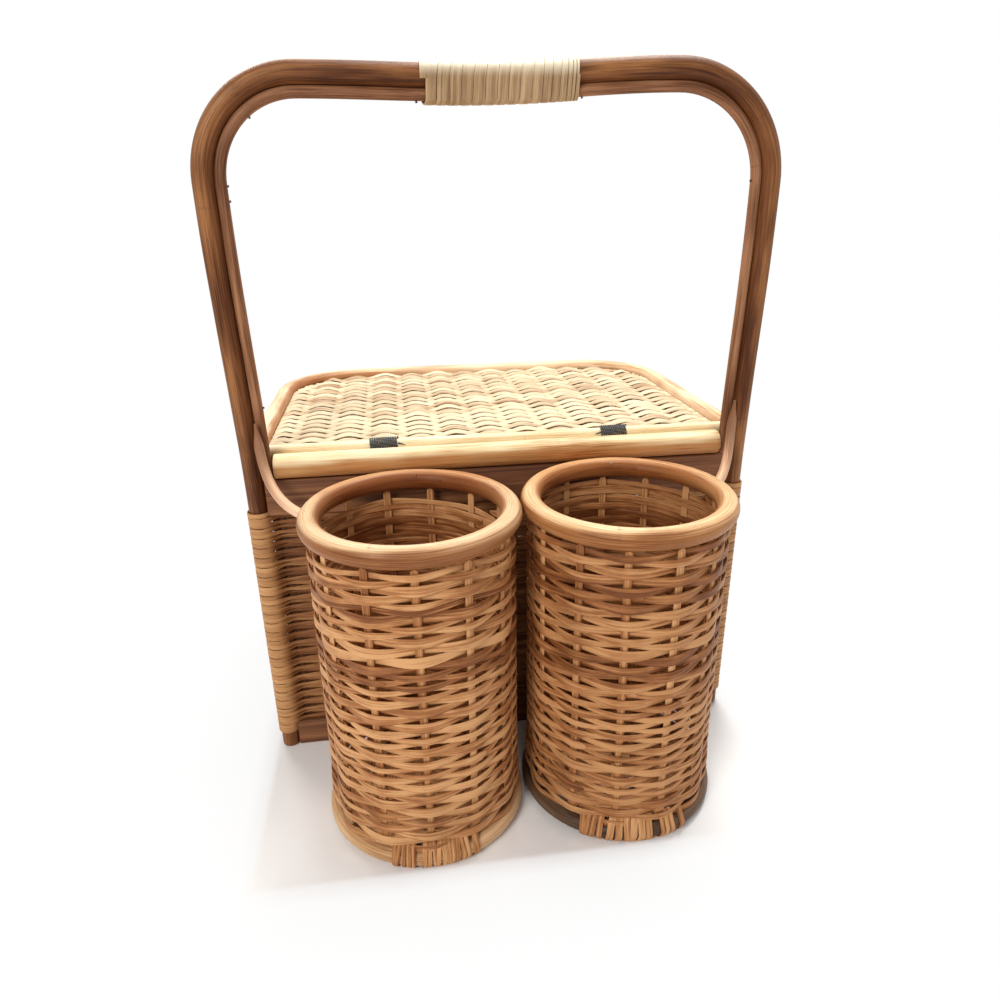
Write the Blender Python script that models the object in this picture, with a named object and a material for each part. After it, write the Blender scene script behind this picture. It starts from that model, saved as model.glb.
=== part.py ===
# Wine bottle basket
#
# Two round woven bottle holders stand side by side in front of a lidded cane box.
# The box's two front posts run on upwards and meet over the top as a bent handle.
# X runs to the right, Y runs from the bottle holders to the back of the box, Z is up.
# The origin is on the floor, in the middle of the basket's width and depth.

import math

import bmesh
import bpy
from mathutils import Matrix
from mathutils import Vector

# General fits, in metres like every size below

FIT = 0.0003
OVERRUN = 0.002
WELD_DISTANCE = 0.00003

# Bottle holders

HOLDER_OUTER_RADIUS = 0.0620
RIM_OVERHANG = 0.0036
RIM_ROD_RADIUS = 0.0065
RIM_BELOW_RAIL = 0.0038
BASE_OVERHANG = 0.0030
BASE_ROD_RADIUS = 0.0054
HOLDER_WALL = 0.0027
HOLDER_FLOOR = 0.0025
OPEN_BAND = 0.0048
STAKE_COUNT = 13
STAKE_WIDTH = 0.0043
STAKE_THICKNESS = 0.0012
STAKE_TIP_SHARE = 0.5
STAKE_FRONT_ANGLES = (math.radians(-90), math.radians(-105.5))

# Splices wound round the front of the two base rings

SPLICE_THICKNESS = 0.0007
SPLICE_CENTRE_ANGLES = (math.radians(-76), math.radians(-101))
SPLICE_TURNS = (17, 11)
SPLICE_PITCHES = (0.0031, 0.0056)
SPLICE_WIDTHS = (0.0023, 0.0047)

# Posts and handle

LEG_RADIUS = 0.0064
LEG_FOOT_SPREAD = 0.1654
LEG_SHOULDER_SPREAD = 0.1698
LEG_SETBACK = 0.0042
SPLAY_START = 0.190
SPLAY_END = 0.380
HANDLE_TOP = 0.4565
LEFT_SHOULDER_DROP = 0.0039
LEFT_CORNER_RADIUS = 0.0560
RIGHT_CORNER_RADIUS = 0.0620
HANDLE_SAG = 0.0030
INNER_ROD_RADIUS = 0.0034
POST_WEAVE_BOTTOM = 0.013
POST_WEAVE_RISE = 0.003
POST_WEAVE_THICKNESS = 0.0020

# Grip wrap of flat cane round both canes of the handle

GRIP_TURNS = 17
GRIP_PITCH = 0.0051
GRIP_STRIP_WIDTH = 0.0045
GRIP_STRIP_THICKNESS = 0.0011

# Brace rods from the legs to the rims

BRACE_RADIUS = 0.0032
BRACE_TOP_RISE = 0.0309
BRACE_LEAVE_RISE = 0.0197
BRACE_MEET_DROP = 0.0058
BRACE_MEET_ANGLE = math.radians(18)
BRACE_ARRIVAL_TURN = math.radians(29)
BRACE_DROP = 0.025
BRACE_REACH = 0.030

# Box behind the holders

BOX_DEPTH = 0.2417
CORNER_RADIUS = 0.0654
RAIL_RADIUS = 0.00825
RAIL_HEIGHT = 0.2203
TOP_SLAT_HEIGHT = 0.02475
SLAT_TO_RAIL_GAP = 0.0003
SLAT_THICKNESS = 0.0050
BOTTOM_SLAT_HEIGHT = 0.020
PANEL_THICKNESS = 0.0028
HOOP_RADIUS = 0.0064
HOOP_BELOW_RAIL = 0.0073
BACK_POST_RADIUS = 0.0055
FLOOR_TOP = 0.016
FLOOR_THICKNESS = 0.004

# Lid and its two cord lashings

LID_ROD_RADIUS = 0.0067
LID_RAIL_RADIUS = 0.0040
LID_STAKE_SPACING = 0.0250
LID_STAKE_OFFSET = -0.0050
LID_WEAVE_AT_STAKE = 0.0042
LID_WEAVE_BETWEEN = 0.0026
LID_NOTCH_FLARE = 0.0006
HINGE_SPREAD = 0.080
LASHING_CORD_RADIUS = 0.0007
LASHING_TURNS = 10
LASHING_PITCH = 0.0019
LASHING_CLEARANCE = 0.0004
HINGE_ROD_GAP = 0.0004

# Nails

NAIL_SHANK_RADIUS = 0.0006
NAIL_HEAD_RADIUS = 0.0014
NAIL_HEAD_HEIGHT = 0.0005
NAIL_HOLE_CLEARANCE = 0.0003
NAIL_DEPTH_IN_POLE = 0.0050
NAIL_TIP_COVER = 0.0010
HANDLE_NAIL_TILT = math.radians(20)
RIM_NAIL_TILT = math.radians(37)
RIM_NAIL_OFFSET = 0.0050
NAIL_ABOVE_RAIL = 0.0397
LEG_NAIL_HEIGHTS = ((-1, RAIL_HEIGHT + NAIL_ABOVE_RAIL), (-1, 0.3810), (-1, 0.3890), (1, 0.3890))
CORNER_NAIL_ANGLE = math.radians(52)
GRIP_TO_NAIL_GAP = 0.0008

# Fineness of the round shapes, in counts

ROD_SIDES = 12
THIN_SIDES = 8
CORD_SIDES = 6
RING_SEGMENTS = 32
TUBE_SEGMENTS = 16
BEND_STEPS = 8
LEG_STEPS = 10
TOP_STEPS = 6
BRACE_STEPS = 10
GRIP_STEPS = (9, 7)
LASHING_STEPS = (7, 7)
SPLICE_STEPS = 12
SHARP_ANGLE = math.radians(35)

# Places worked out from the sizes

RIM_OUTER_RADIUS = HOLDER_OUTER_RADIUS + RIM_OVERHANG
BASE_OUTER_RADIUS = HOLDER_OUTER_RADIUS + BASE_OVERHANG
RIM_HEIGHT = RAIL_HEIGHT - RIM_BELOW_RAIL - RIM_ROD_RADIUS
RIM_RING_RADIUS = RIM_OUTER_RADIUS - RIM_ROD_RADIUS
BASE_RING_RADIUS = BASE_OUTER_RADIUS - BASE_ROD_RADIUS
WIDEST_RADIUS = max(RIM_OUTER_RADIUS, BASE_OUTER_RADIUS)
HOLDER_SPREAD = WIDEST_RADIUS + FIT / 2
SPLICE_INNER_RADIUS = (BASE_ROD_RADIUS + FIT) / math.cos(math.pi / SPLICE_STEPS)
SPLICE_OUTER_RADIUS = SPLICE_INNER_RADIUS + SPLICE_THICKNESS
BASE_HEIGHT = SPLICE_OUTER_RADIUS
HOLDER_BOTTOM = BASE_HEIGHT + SPLICE_OUTER_RADIUS + FIT
STAKE_TOP = RIM_HEIGHT - RIM_ROD_RADIUS - FIT
HOLDER_TOP = STAKE_TOP + FIT - OPEN_BAND

FRONT_REACH = max(WIDEST_RADIUS, BASE_RING_RADIUS + SPLICE_OUTER_RADIUS)
WHOLE_DEPTH = FRONT_REACH + WIDEST_RADIUS + FIT + LEG_SETBACK + BOX_DEPTH + LID_ROD_RADIUS
HOLDER_Y = FRONT_REACH - WHOLE_DEPTH / 2
SLAT_FRONT_Y = HOLDER_Y + WIDEST_RADIUS + FIT
SLAT_BACK_Y = SLAT_FRONT_Y + SLAT_THICKNESS
LEG_Y = SLAT_FRONT_Y + LEG_SETBACK
BACK_Y = LEG_Y + BOX_DEPTH

ROD_SPACING = LEG_RADIUS + FIT + INNER_ROD_RADIUS
POST_WEAVE_INNER_RADIUS = LEG_RADIUS + FIT
POST_WEAVE_OUTER_RADIUS = POST_WEAVE_INNER_RADIUS + POST_WEAVE_THICKNESS
BETWEEN_POST_WEAVES = LEG_FOOT_SPREAD - POST_WEAVE_OUTER_RADIUS - FIT
BETWEEN_INNER_RODS = LEG_FOOT_SPREAD - ROD_SPACING - INNER_ROD_RADIUS - FIT
BEHIND_POST_WEAVE_Y = LEG_Y + POST_WEAVE_OUTER_RADIUS + FIT
HANDLE_HEIGHT = HANDLE_TOP - LEG_RADIUS
GRIP_HALF_LENGTH = (GRIP_TURNS * GRIP_PITCH + GRIP_STRIP_WIDTH) / 2
TOP_NAIL_SPREAD = GRIP_HALF_LENGTH + GRIP_TO_NAIL_GAP + NAIL_HEAD_RADIUS

TOP_SLAT_TOP = RAIL_HEIGHT - RAIL_RADIUS - SLAT_TO_RAIL_GAP
TOP_SLAT_BOTTOM = TOP_SLAT_TOP - TOP_SLAT_HEIGHT
POST_WEAVE_TOP = TOP_SLAT_BOTTOM + POST_WEAVE_RISE
BRACE_TOP = RAIL_HEIGHT + BRACE_TOP_RISE
BRACE_LEAVE = RAIL_HEIGHT + BRACE_LEAVE_RISE
BRACE_MEET = RIM_HEIGHT - BRACE_MEET_DROP
HOOP_HEIGHT = RAIL_HEIGHT - HOOP_BELOW_RAIL
TOP_BAND_TOP = HOOP_HEIGHT - HOOP_RADIUS - FIT
PANEL_BOTTOM = BOTTOM_SLAT_HEIGHT + FIT
PANEL_TOP = TOP_SLAT_BOTTOM - FIT

LID_HEIGHT = HOOP_HEIGHT + HOOP_RADIUS + FIT + LID_ROD_RADIUS
LASHING_REACH = LID_RAIL_RADIUS + LASHING_CLEARANCE + LASHING_CORD_RADIUS
HINGE_Y = LEG_Y + RAIL_RADIUS + FIT + LASHING_CORD_RADIUS + LASHING_REACH
HINGE_ROD_SPACING = LID_RAIL_RADIUS + HINGE_ROD_GAP + LID_RAIL_RADIUS
HINGE_ROD_HEIGHT = LID_HEIGHT - HINGE_ROD_SPACING
BEHIND_LID_RAIL_Y = HINGE_Y + LID_RAIL_RADIUS + FIT
BEHIND_LASHING_Y = HINGE_Y + LASHING_REACH + LASHING_CORD_RADIUS + FIT

# Finishes: colour, roughness and metallic value

FINISHES = {
    "cane_amber": ((0.42, 0.20, 0.08), 0.42, 0.0),
    "cane_pink": ((0.50, 0.30, 0.18), 0.50, 0.0),
    "cane_peach": ((0.66, 0.40, 0.22), 0.42, 0.0),
    "cane_pale": ((0.78, 0.60, 0.36), 0.45, 0.0),
    "slat_brown": ((0.24, 0.12, 0.07), 0.55, 0.0),
    "weave_tan": ((0.62, 0.38, 0.19), 0.55, 0.0),
    "weave_cream": ((0.80, 0.68, 0.46), 0.55, 0.0),
    "strip_beige": ((0.74, 0.58, 0.38), 0.45, 0.0),
    "board": ((0.45, 0.28, 0.15), 0.65, 0.0),
    "cord_black": ((0.025, 0.022, 0.022), 0.60, 0.0),
    "nail_steel": ((0.12, 0.10, 0.09), 0.40, 0.9),
}


def clear_scene():
    """Empties the file of the objects that it opens with."""
    for item in list(bpy.data.objects):
        bpy.data.objects.remove(item, do_unlink=True)


def finish(name):
    """Gives the material of that name, made on its first use."""
    material = bpy.data.materials.get(name)
    if material is not None:
        return material
    colour, roughness, metallic = FINISHES[name]
    material = bpy.data.materials.new(name)
    material.use_nodes = True
    shader = material.node_tree.nodes["Principled BSDF"]
    shader.inputs["Base Color"].default_value = (*colour, 1.0)
    shader.inputs["Roughness"].default_value = roughness
    shader.inputs["Metallic"].default_value = metallic
    return material


def solid(name, vertices, faces, material):
    """Makes one closed object from its corners and faces, with the faces turned outwards."""
    mesh = bpy.data.meshes.new(name)
    mesh.from_pydata(vertices, [], faces)
    work = bmesh.new()
    work.from_mesh(mesh)
    bmesh.ops.recalc_face_normals(work, faces=work.faces)
    work.to_mesh(mesh)
    work.free()
    mesh.shade_smooth()
    mesh.set_sharp_from_angle(angle=SHARP_ANGLE)
    mesh.materials.append(finish(material))
    item = bpy.data.objects.new(name, mesh)
    bpy.context.scene.collection.objects.link(item)
    return item


def circle(radius, sides):
    """Corners of a round section, the first at its side."""
    turns = [2 * math.pi * index / sides for index in range(sides)]
    return [(radius * math.cos(turn), radius * math.sin(turn)) for turn in turns]


def oblong(width, height):
    """Corners of a flat section, width across and height up."""
    corners = ((-1, -1), (1, -1), (1, 1), (-1, 1))
    return [(width / 2 * across, height / 2 * raised) for across, raised in corners]


def arc(centre, radius, start, end, steps):
    """Points along an arc in a plane, both ends included."""
    turns = [start + (end - start) * index / steps for index in range(steps + 1)]
    return [(centre[0] + radius * math.cos(turn), centre[1] + radius * math.sin(turn)) for turn in turns]


def strip_faces(rows, sides, closed):
    """Faces between neighbouring rows of corners, with end caps where the row of rows is open."""
    faces = []
    for row in range(rows if closed else rows - 1):
        here = row * sides
        there = (row + 1) % rows * sides
        for side in range(sides):
            after = (side + 1) % sides
            faces.append((here + side, here + after, there + after, there + side))
    if not closed:
        faces.append(tuple(range(sides)))
        faces.append(tuple(range((rows - 1) * sides, rows * sides)))
    return faces


def sweep(name, points, section, up, material, closed=False):
    """Carries a section along a path. Its first number lies beside the path, its second along up."""
    count = len(points)
    vertices = []
    for index, point in enumerate(points):
        before = points[index - 1] if closed or index > 0 else point
        after = points[(index + 1) % count] if closed or index < count - 1 else point
        along = (after - before).normalized()
        side = along.cross(up).normalized()
        lift = side.cross(along)
        vertices.extend(point + side * across + lift * raised for across, raised in section)
    return solid(name, vertices, strip_faces(count, len(section), closed), material)


def turned(name, profile, segments, place, material):
    """Turns a profile of radius and height round an axis. A radius of zero closes on the axis."""
    vertices = []
    rows = []
    for radius, height in profile:
        if radius == 0:
            rows.append([len(vertices)] * segments)
            vertices.append(place @ Vector((0, 0, height)))
            continue
        rows.append(list(range(len(vertices), len(vertices) + segments)))
        vertices.extend(place @ Vector((x, y, height)) for x, y in circle(radius, segments))
    faces = []
    for lower, upper in zip(rows, rows[1:] + rows[:1]):
        for index in range(segments):
            after = (index + 1) % segments
            corners = [lower[index], lower[after], upper[after], upper[index]]
            corners = list(dict.fromkeys(corners))
            if len(corners) > 2:
                faces.append(tuple(corners))
    return solid(name, vertices, faces, material)


def slab(name, outline, bottom, top, material):
    """Raises a flat outline into a plate."""
    count = len(outline)
    vertices = [(x, y, bottom) for x, y in outline] + [(x, y, top) for x, y in outline]
    faces = [tuple(range(count)), tuple(range(count, 2 * count))]
    for index in range(count):
        after = (index + 1) % count
        faces.append((index, after, count + after, count + index))
    return solid(name, vertices, faces, material)


def block(name, low, high, material):
    """Makes a plain bar between two opposite corners."""
    outline = [(low[0], low[1]), (high[0], low[1]), (high[0], high[1]), (low[0], high[1])]
    return slab(name, outline, low[2], high[2], material)


def hoop_outline(half_width, front, inset):
    """Plan of the bent hoops: up the left side, round two back corners, down the right side."""
    radius = CORNER_RADIUS - inset
    reach = half_width - inset - radius
    left_corner = (-reach, BACK_Y - CORNER_RADIUS)
    right_corner = (reach, BACK_Y - CORNER_RADIUS)
    left = arc(left_corner, radius, math.pi, math.pi / 2, BEND_STEPS)
    right = arc(right_corner, radius, math.pi / 2, 0, BEND_STEPS)
    return [(-half_width + inset, front)] + left + right + [(half_width - inset, front)]


def hoop(name, front, height, section, material):
    """Bends a cane or a slat round the sides and the back of the box."""
    plan = hoop_outline(LEG_FOOT_SPREAD, front, 0)
    points = [Vector((x, y, height)) for x, y in plan]
    return sweep(name, points, section, Vector((0, 0, 1)), material)


def ring(name, centre, ring_radius, rod_radius, sides, material):
    """Closes a cane into a level ring."""
    plan = circle(ring_radius, RING_SEGMENTS)
    points = [centre + Vector((x, y, 0)) for x, y in plan]
    return sweep(name, points, circle(rod_radius, sides), Vector((0, 0, 1)), material, closed=True)


def straight_rod(name, start, end, radius, sides, up, material):
    """Lays a straight cane between two points."""
    return sweep(name, [start, end], circle(radius, sides), up, material)


def ease(share):
    """Smooth step from 0 to 1."""
    share = min(max(share, 0), 1)
    return share * share * (3 - 2 * share)


def shoulder(side):
    """Height of the pole's middle and bend radius at one corner: the two were bent by hand and differ."""
    if side < 0:
        return HANDLE_HEIGHT - LEFT_SHOULDER_DROP, LEFT_CORNER_RADIUS
    return HANDLE_HEIGHT, RIGHT_CORNER_RADIUS


def leg_spread(height):
    """Distance of a leg's middle from the basket's middle: straight below, then easing outwards."""
    widening = LEG_SHOULDER_SPREAD - LEG_FOOT_SPREAD
    return LEG_FOOT_SPREAD + widening * ease((height - SPLAY_START) / (SPLAY_END - SPLAY_START))


def top_height(x):
    """Height of the handle pole's middle along its top, which sags a little between the corners."""
    left_height, left_radius = shoulder(-1)
    right_height, right_radius = shoulder(1)
    left = left_radius - LEG_SHOULDER_SPREAD
    share = (x - left) / (LEG_SHOULDER_SPREAD - right_radius - left)
    sag = HANDLE_SAG * (1 - math.cos(2 * math.pi * share)) / 2
    return left_height + (right_height - left_height) * ease(share) - sag


def handle_half_path(side, bottom):
    """One half of the pole's middle line, from a height on the leg to the middle of the top."""
    height, radius = shoulder(side)
    flat = LEG_SHOULDER_SPREAD - radius
    corner = height - radius
    heights = [bottom + (corner - bottom) * index / LEG_STEPS for index in range(LEG_STEPS)]
    points = [(leg_spread(height), height) for height in heights]
    points += arc((flat, corner), radius, 0, math.pi / 2, BEND_STEPS)
    along = [flat * (1 - (index + 1) / TOP_STEPS) for index in range(TOP_STEPS)]
    points += [(x, top_height(side * x)) for x in along]
    return [(side * x, z) for x, z in points]


def handle_path(bottom, inset):
    """Whole handle line from left foot to right foot, moved inwards by the inset."""
    plan = handle_half_path(-1, bottom) + handle_half_path(1, bottom)[-2::-1]
    middle = [Vector((x, LEG_Y, z)) for x, z in plan]
    moved = []
    for index, point in enumerate(middle):
        before = middle[max(index - 1, 0)]
        after = middle[min(index + 1, len(middle) - 1)]
        along = (after - before).normalized()
        inwards = Vector((along.z, 0, -along.x))
        moved.append(point + inwards * inset)
    return moved


def belt(upper, lower, spacing, steps):
    """One turn round two level rods, the lower one straight below the upper.

    Gives for each step a point and the outward direction there. The points lie a little outside
    the two radii, so that the flats between them clear the rods.
    """
    upper_steps, lower_steps = steps
    lean = math.asin((upper - lower) / spacing)
    upper_turn = (math.pi + 2 * lean) / (upper_steps - 1)
    lower_turn = (math.pi - 2 * lean) / (lower_steps - 1)
    turn = []
    for index in range(upper_steps):
        angle = -lean + upper_turn * index
        outward = (math.cos(angle), math.sin(angle))
        radius = upper / math.cos(upper_turn / 2)
        turn.append(((radius * outward[0], radius * outward[1]), outward))
    for index in range(lower_steps):
        angle = math.pi + lean + lower_turn * index
        outward = (math.cos(angle), math.sin(angle))
        radius = lower / math.cos(lower_turn / 2)
        turn.append(((radius * outward[0], radius * outward[1] - spacing), outward))
    return turn


def round_turn(radius, steps):
    """One turn round a single rod, as points and outward directions."""
    return [((radius * u, radius * v), (u, v)) for u, v in circle(1, steps)]


def least_gap(rows, steps, thickness):
    """Least distance between points that are about one turn apart, less the cord's thickness."""
    least = math.inf
    for index, row in enumerate(rows):
        for other in rows[index + steps - 2:index + steps + 3]:
            least = min(least, min((a - b).length for a in row for b in other))
    return least - thickness


def wound_strip(name, turn, turns, pitch, width, thickness, place, material):
    """Winds a flat strip. The function place turns a run along the rod and an offset into a point."""
    steps = len(turn)
    corners = [(-width / 2, 0), (width / 2, 0), (width / 2, thickness), (-width / 2, thickness)]
    rows = []
    for step in range(turns * steps + 1):
        (u, v), (out_u, out_v) = turn[step % steps]
        middle = pitch * (step / steps - turns / 2)
        rows.append([place(middle + run, u + out_u * lift, v + out_v * lift) for run, lift in corners])
    vertices = [corner for row in rows for corner in row]
    print(f"{name}: least gap between turns {least_gap(rows, steps, 0) * 1000:.2f} mm")
    return solid(name, vertices, strip_faces(len(rows), len(corners), False), material)


def wound_cord(name, turn, turns, pitch, radius, place, material):
    """Winds a round cord along its middle line, as one unbroken tube."""
    steps = len(turn)
    points = []
    for step in range(turns * steps + 1):
        (u, v), _ = turn[step % steps]
        points.append(place(pitch * (step / steps - turns / 2), u, v))
    gap = least_gap([[point] for point in points], steps, 2 * radius)
    print(f"{name}: least gap between turns {gap * 1000:.2f} mm")
    return sweep(name, points, circle(radius, CORD_SIDES), Vector((1, 0, 0)), material)


def looking_along(point, direction):
    """Placement whose Z axis runs along a direction."""
    turn = direction.to_track_quat("Z", "Y").to_matrix().to_4x4()
    return Matrix.Translation(point) @ turn


def nail(name, point, direction, length):
    """Drives one nail. The point is the underside of its head, the direction runs to its tip."""
    profile = [
        (0, -NAIL_HEAD_HEIGHT),
        (NAIL_HEAD_RADIUS, -NAIL_HEAD_HEIGHT / 2),
        (NAIL_HEAD_RADIUS, 0),
        (NAIL_SHANK_RADIUS, 0),
        (NAIL_SHANK_RADIUS, length - NAIL_SHANK_RADIUS),
        (0, length),
    ]
    return turned(name, profile, THIN_SIDES, looking_along(point, direction), "nail_steel")


def nail_hole(name, point, direction, length):
    """Makes the drill for one nail, from above its head to past its tip."""
    radius = NAIL_SHANK_RADIUS + NAIL_HOLE_CLEARANCE
    profile = [(0, -OVERRUN), (radius, -OVERRUN), (radius, length + FIT), (0, length + FIT)]
    drill = turned(name, profile, THIN_SIDES, looking_along(point, direction), "nail_steel")
    drill.hide_render = True
    drill.display_type = "WIRE"
    return drill


def drill_through(item, drills):
    """Cuts the drills out of a piece."""
    for drill in drills:
        cut = item.modifiers.new(drill.name, "BOOLEAN")
        cut.operation = "DIFFERENCE"
        cut.object = drill


# Bottle holders

def holder_stakes(name, centre, front_angle):
    """Thirteen flat stakes that cross on the bottom and stand up inside the wall, as one star.

    One of them stands at the front angle.
    """
    floor = HOLDER_BOTTOM + HOLDER_FLOOR + FIT
    top = floor + STAKE_THICKNESS
    wall = (HOLDER_OUTER_RADIUS - HOLDER_WALL) * math.cos(math.pi / RING_SEGMENTS)
    outer = math.sqrt((wall - FIT) ** 2 - (STAKE_WIDTH / 2) ** 2)
    inner = outer - STAKE_THICKNESS
    hub = STAKE_WIDTH / 2 / math.tan(math.pi / STAKE_COUNT)
    shoulder = STAKE_TOP - STAKE_WIDTH / 2
    vertices = []
    faces = []
    hub_low = []
    hub_high = []
    for index in range(STAKE_COUNT):
        angle = front_angle + 2 * math.pi * index / STAKE_COUNT
        out = Vector((math.cos(angle), math.sin(angle), 0))
        side = Vector((-out.y, out.x, 0)) * (STAKE_WIDTH / 2)
        radii_and_heights = (
            (hub, floor), (hub, top), (inner, top), (inner, shoulder),
            (outer, floor), (outer, shoulder), (inner, STAKE_TOP), (outer, STAKE_TOP),
        )
        first = len(vertices)
        for radius, height in radii_and_heights:
            middle = centre + out * radius + Vector((0, 0, height))
            narrow = STAKE_TIP_SHARE if height == STAKE_TOP else 1
            vertices.extend((middle - side * narrow, middle + side * narrow))
        names = ("hub_low", "hub_high", "knee", "inner_top", "heel", "outer_top", "inner_tip", "outer_tip")
        left = {key: first + 2 * place for place, key in enumerate(names)}
        right = {key: value + 1 for key, value in left.items()}
        for one, other in (
            ("hub_high", "knee"), ("knee", "inner_top"), ("inner_top", "inner_tip"),
            ("inner_tip", "outer_tip"), ("outer_tip", "outer_top"), ("outer_top", "heel"),
            ("heel", "hub_low"),
        ):
            faces.append((left[one], left[other], right[other], right[one]))
        for flank in (left, right):
            faces.append(tuple(flank[key] for key in names[:2] + ("knee", "heel")))
            faces.append(tuple(flank[key] for key in ("knee", "inner_top", "outer_top", "heel")))
            faces.append(tuple(flank[key] for key in ("inner_top", "inner_tip", "outer_tip", "outer_top")))
        hub_low.extend((left["hub_low"], right["hub_low"]))
        hub_high.extend((left["hub_high"], right["hub_high"]))
    faces.extend((tuple(hub_low), tuple(hub_high)))
    item = solid(name, vertices, faces, "weave_tan")
    work = bmesh.new()
    work.from_mesh(item.data)
    bmesh.ops.remove_doubles(work, verts=work.verts, dist=WELD_DISTANCE)
    bmesh.ops.recalc_face_normals(work, faces=work.faces)
    work.to_mesh(item.data)
    work.free()
    return item


def holder_cup(name, centre):
    """Woven wall and bottom as one open cup with its true outer shape."""
    inner = HOLDER_OUTER_RADIUS - HOLDER_WALL
    profile = [
        (0, HOLDER_BOTTOM),
        (HOLDER_OUTER_RADIUS, HOLDER_BOTTOM),
        (HOLDER_OUTER_RADIUS, HOLDER_TOP),
        (inner, HOLDER_TOP),
        (inner, HOLDER_BOTTOM + HOLDER_FLOOR),
        (0, HOLDER_BOTTOM + HOLDER_FLOOR),
    ]
    return turned(name, profile, RING_SEGMENTS, Matrix.Translation(centre), "weave_tan")


def base_splice(name, centre, angle, turns, pitch, width):
    """Flat cane wound round the front of a base ring."""
    def place(run, u, v):
        turn = angle + run / BASE_RING_RADIUS
        radius = BASE_RING_RADIUS + u
        return centre + Vector((radius * math.cos(turn), radius * math.sin(turn), BASE_HEIGHT + v))

    turn = round_turn(SPLICE_INNER_RADIUS, SPLICE_STEPS)
    return wound_strip(name, turn, turns, pitch, width, SPLICE_THICKNESS, place, "strip_beige")


def rim_nail_line(side):
    """Head, direction and length of the nail that holds a rim to the slat behind it."""
    across = RIM_NAIL_OFFSET
    middle = Vector((
        side * HOLDER_SPREAD + across,
        HOLDER_Y + math.sqrt(RIM_RING_RADIUS ** 2 - across ** 2),
        RIM_HEIGHT,
    ))
    direction = Vector((0, math.cos(RIM_NAIL_TILT), -math.sin(RIM_NAIL_TILT)))
    start = middle - direction * (RIM_ROD_RADIUS + FIT)
    tip_y = SLAT_BACK_Y - NAIL_TIP_COVER
    return start, direction, (tip_y - start.y) / direction.y


def build_holders():
    """Both bottle holders, and the drills of their rim nails, which also cut the slat."""
    drills = []
    for number, (side, label) in enumerate(((-1, "left"), (1, "right"))):
        centre = Vector((side * HOLDER_SPREAD, HOLDER_Y, 0))
        lift = Vector((0, 0, 1))
        rim = ring(
            f"holder_rim_{label}", centre + lift * RIM_HEIGHT, RIM_RING_RADIUS, RIM_ROD_RADIUS,
            ROD_SIDES, "cane_peach",
        )
        ring(
            f"holder_base_ring_{label}", centre + lift * BASE_HEIGHT, BASE_RING_RADIUS, BASE_ROD_RADIUS,
            THIN_SIDES, "cane_amber",
        )
        holder_cup(f"holder_weave_{label}", centre)
        holder_stakes(f"holder_stakes_{label}", centre, STAKE_FRONT_ANGLES[number])
        base_splice(
            f"base_splice_{label}", centre, SPLICE_CENTRE_ANGLES[number], SPLICE_TURNS[number],
            SPLICE_PITCHES[number], SPLICE_WIDTHS[number],
        )
        line = rim_nail_line(side)
        nail(f"rim_nail_{label}", *line)
        drill = nail_hole(f"rim_nail_drill_{label}", *line)
        drill_through(rim, [drill])
        drills.append(drill)
    return drills


# Handle

def handle_nail_line(point, inwards):
    """Head, direction and length of a nail that enters the inner rod and ends in the pole."""
    back = Vector((0, 1, 0))
    direction = (-inwards * math.cos(HANDLE_NAIL_TILT) + back * math.sin(HANDLE_NAIL_TILT)).normalized()
    start = point - direction * (INNER_ROD_RADIUS + FIT)
    return start, direction, INNER_ROD_RADIUS * 2 + FIT * 2 + NAIL_DEPTH_IN_POLE


def handle_nail_places():
    """Points on the inner rod's middle line where nails go in, with the direction to the arch's inside."""
    places = []
    for side, height in LEG_NAIL_HEIGHTS:
        point = Vector((side * (leg_spread(height) - ROD_SPACING), LEG_Y, height))
        places.append((point, Vector((-side, 0, 0))))
    height, radius = shoulder(-1)
    outwards = Vector((-math.cos(CORNER_NAIL_ANGLE), 0, math.sin(CORNER_NAIL_ANGLE)))
    corner = Vector((radius - LEG_SHOULDER_SPREAD, LEG_Y, height - radius))
    places.append((corner + outwards * (radius - ROD_SPACING), -outwards))
    for side in (-1, 1):
        x = side * TOP_NAIL_SPREAD
        places.append((Vector((x, LEG_Y, top_height(x) - ROD_SPACING)), Vector((0, 0, -1))))
    return places


def grip_wrap():
    """Flat cane wound round both canes at the middle of the top."""
    def place(run, u, v):
        return Vector((run, LEG_Y - u, top_height(run) + v))

    turn = belt(LEG_RADIUS + FIT, INNER_ROD_RADIUS + FIT, ROD_SPACING, GRIP_STEPS)
    return wound_strip(
        "grip_wrap", turn, GRIP_TURNS, GRIP_PITCH, GRIP_STRIP_WIDTH, GRIP_STRIP_THICKNESS, place,
        "strip_beige",
    )


def groove_place():
    """Place of a brace in the groove between leg and inner rod: distance inwards and forwards."""
    to_leg = LEG_RADIUS + FIT + BRACE_RADIUS
    to_rod = INNER_ROD_RADIUS + FIT + BRACE_RADIUS
    inwards = (to_leg ** 2 - to_rod ** 2 + ROD_SPACING ** 2) / (2 * ROD_SPACING)
    return inwards, math.sqrt(to_leg ** 2 - inwards ** 2)


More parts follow.
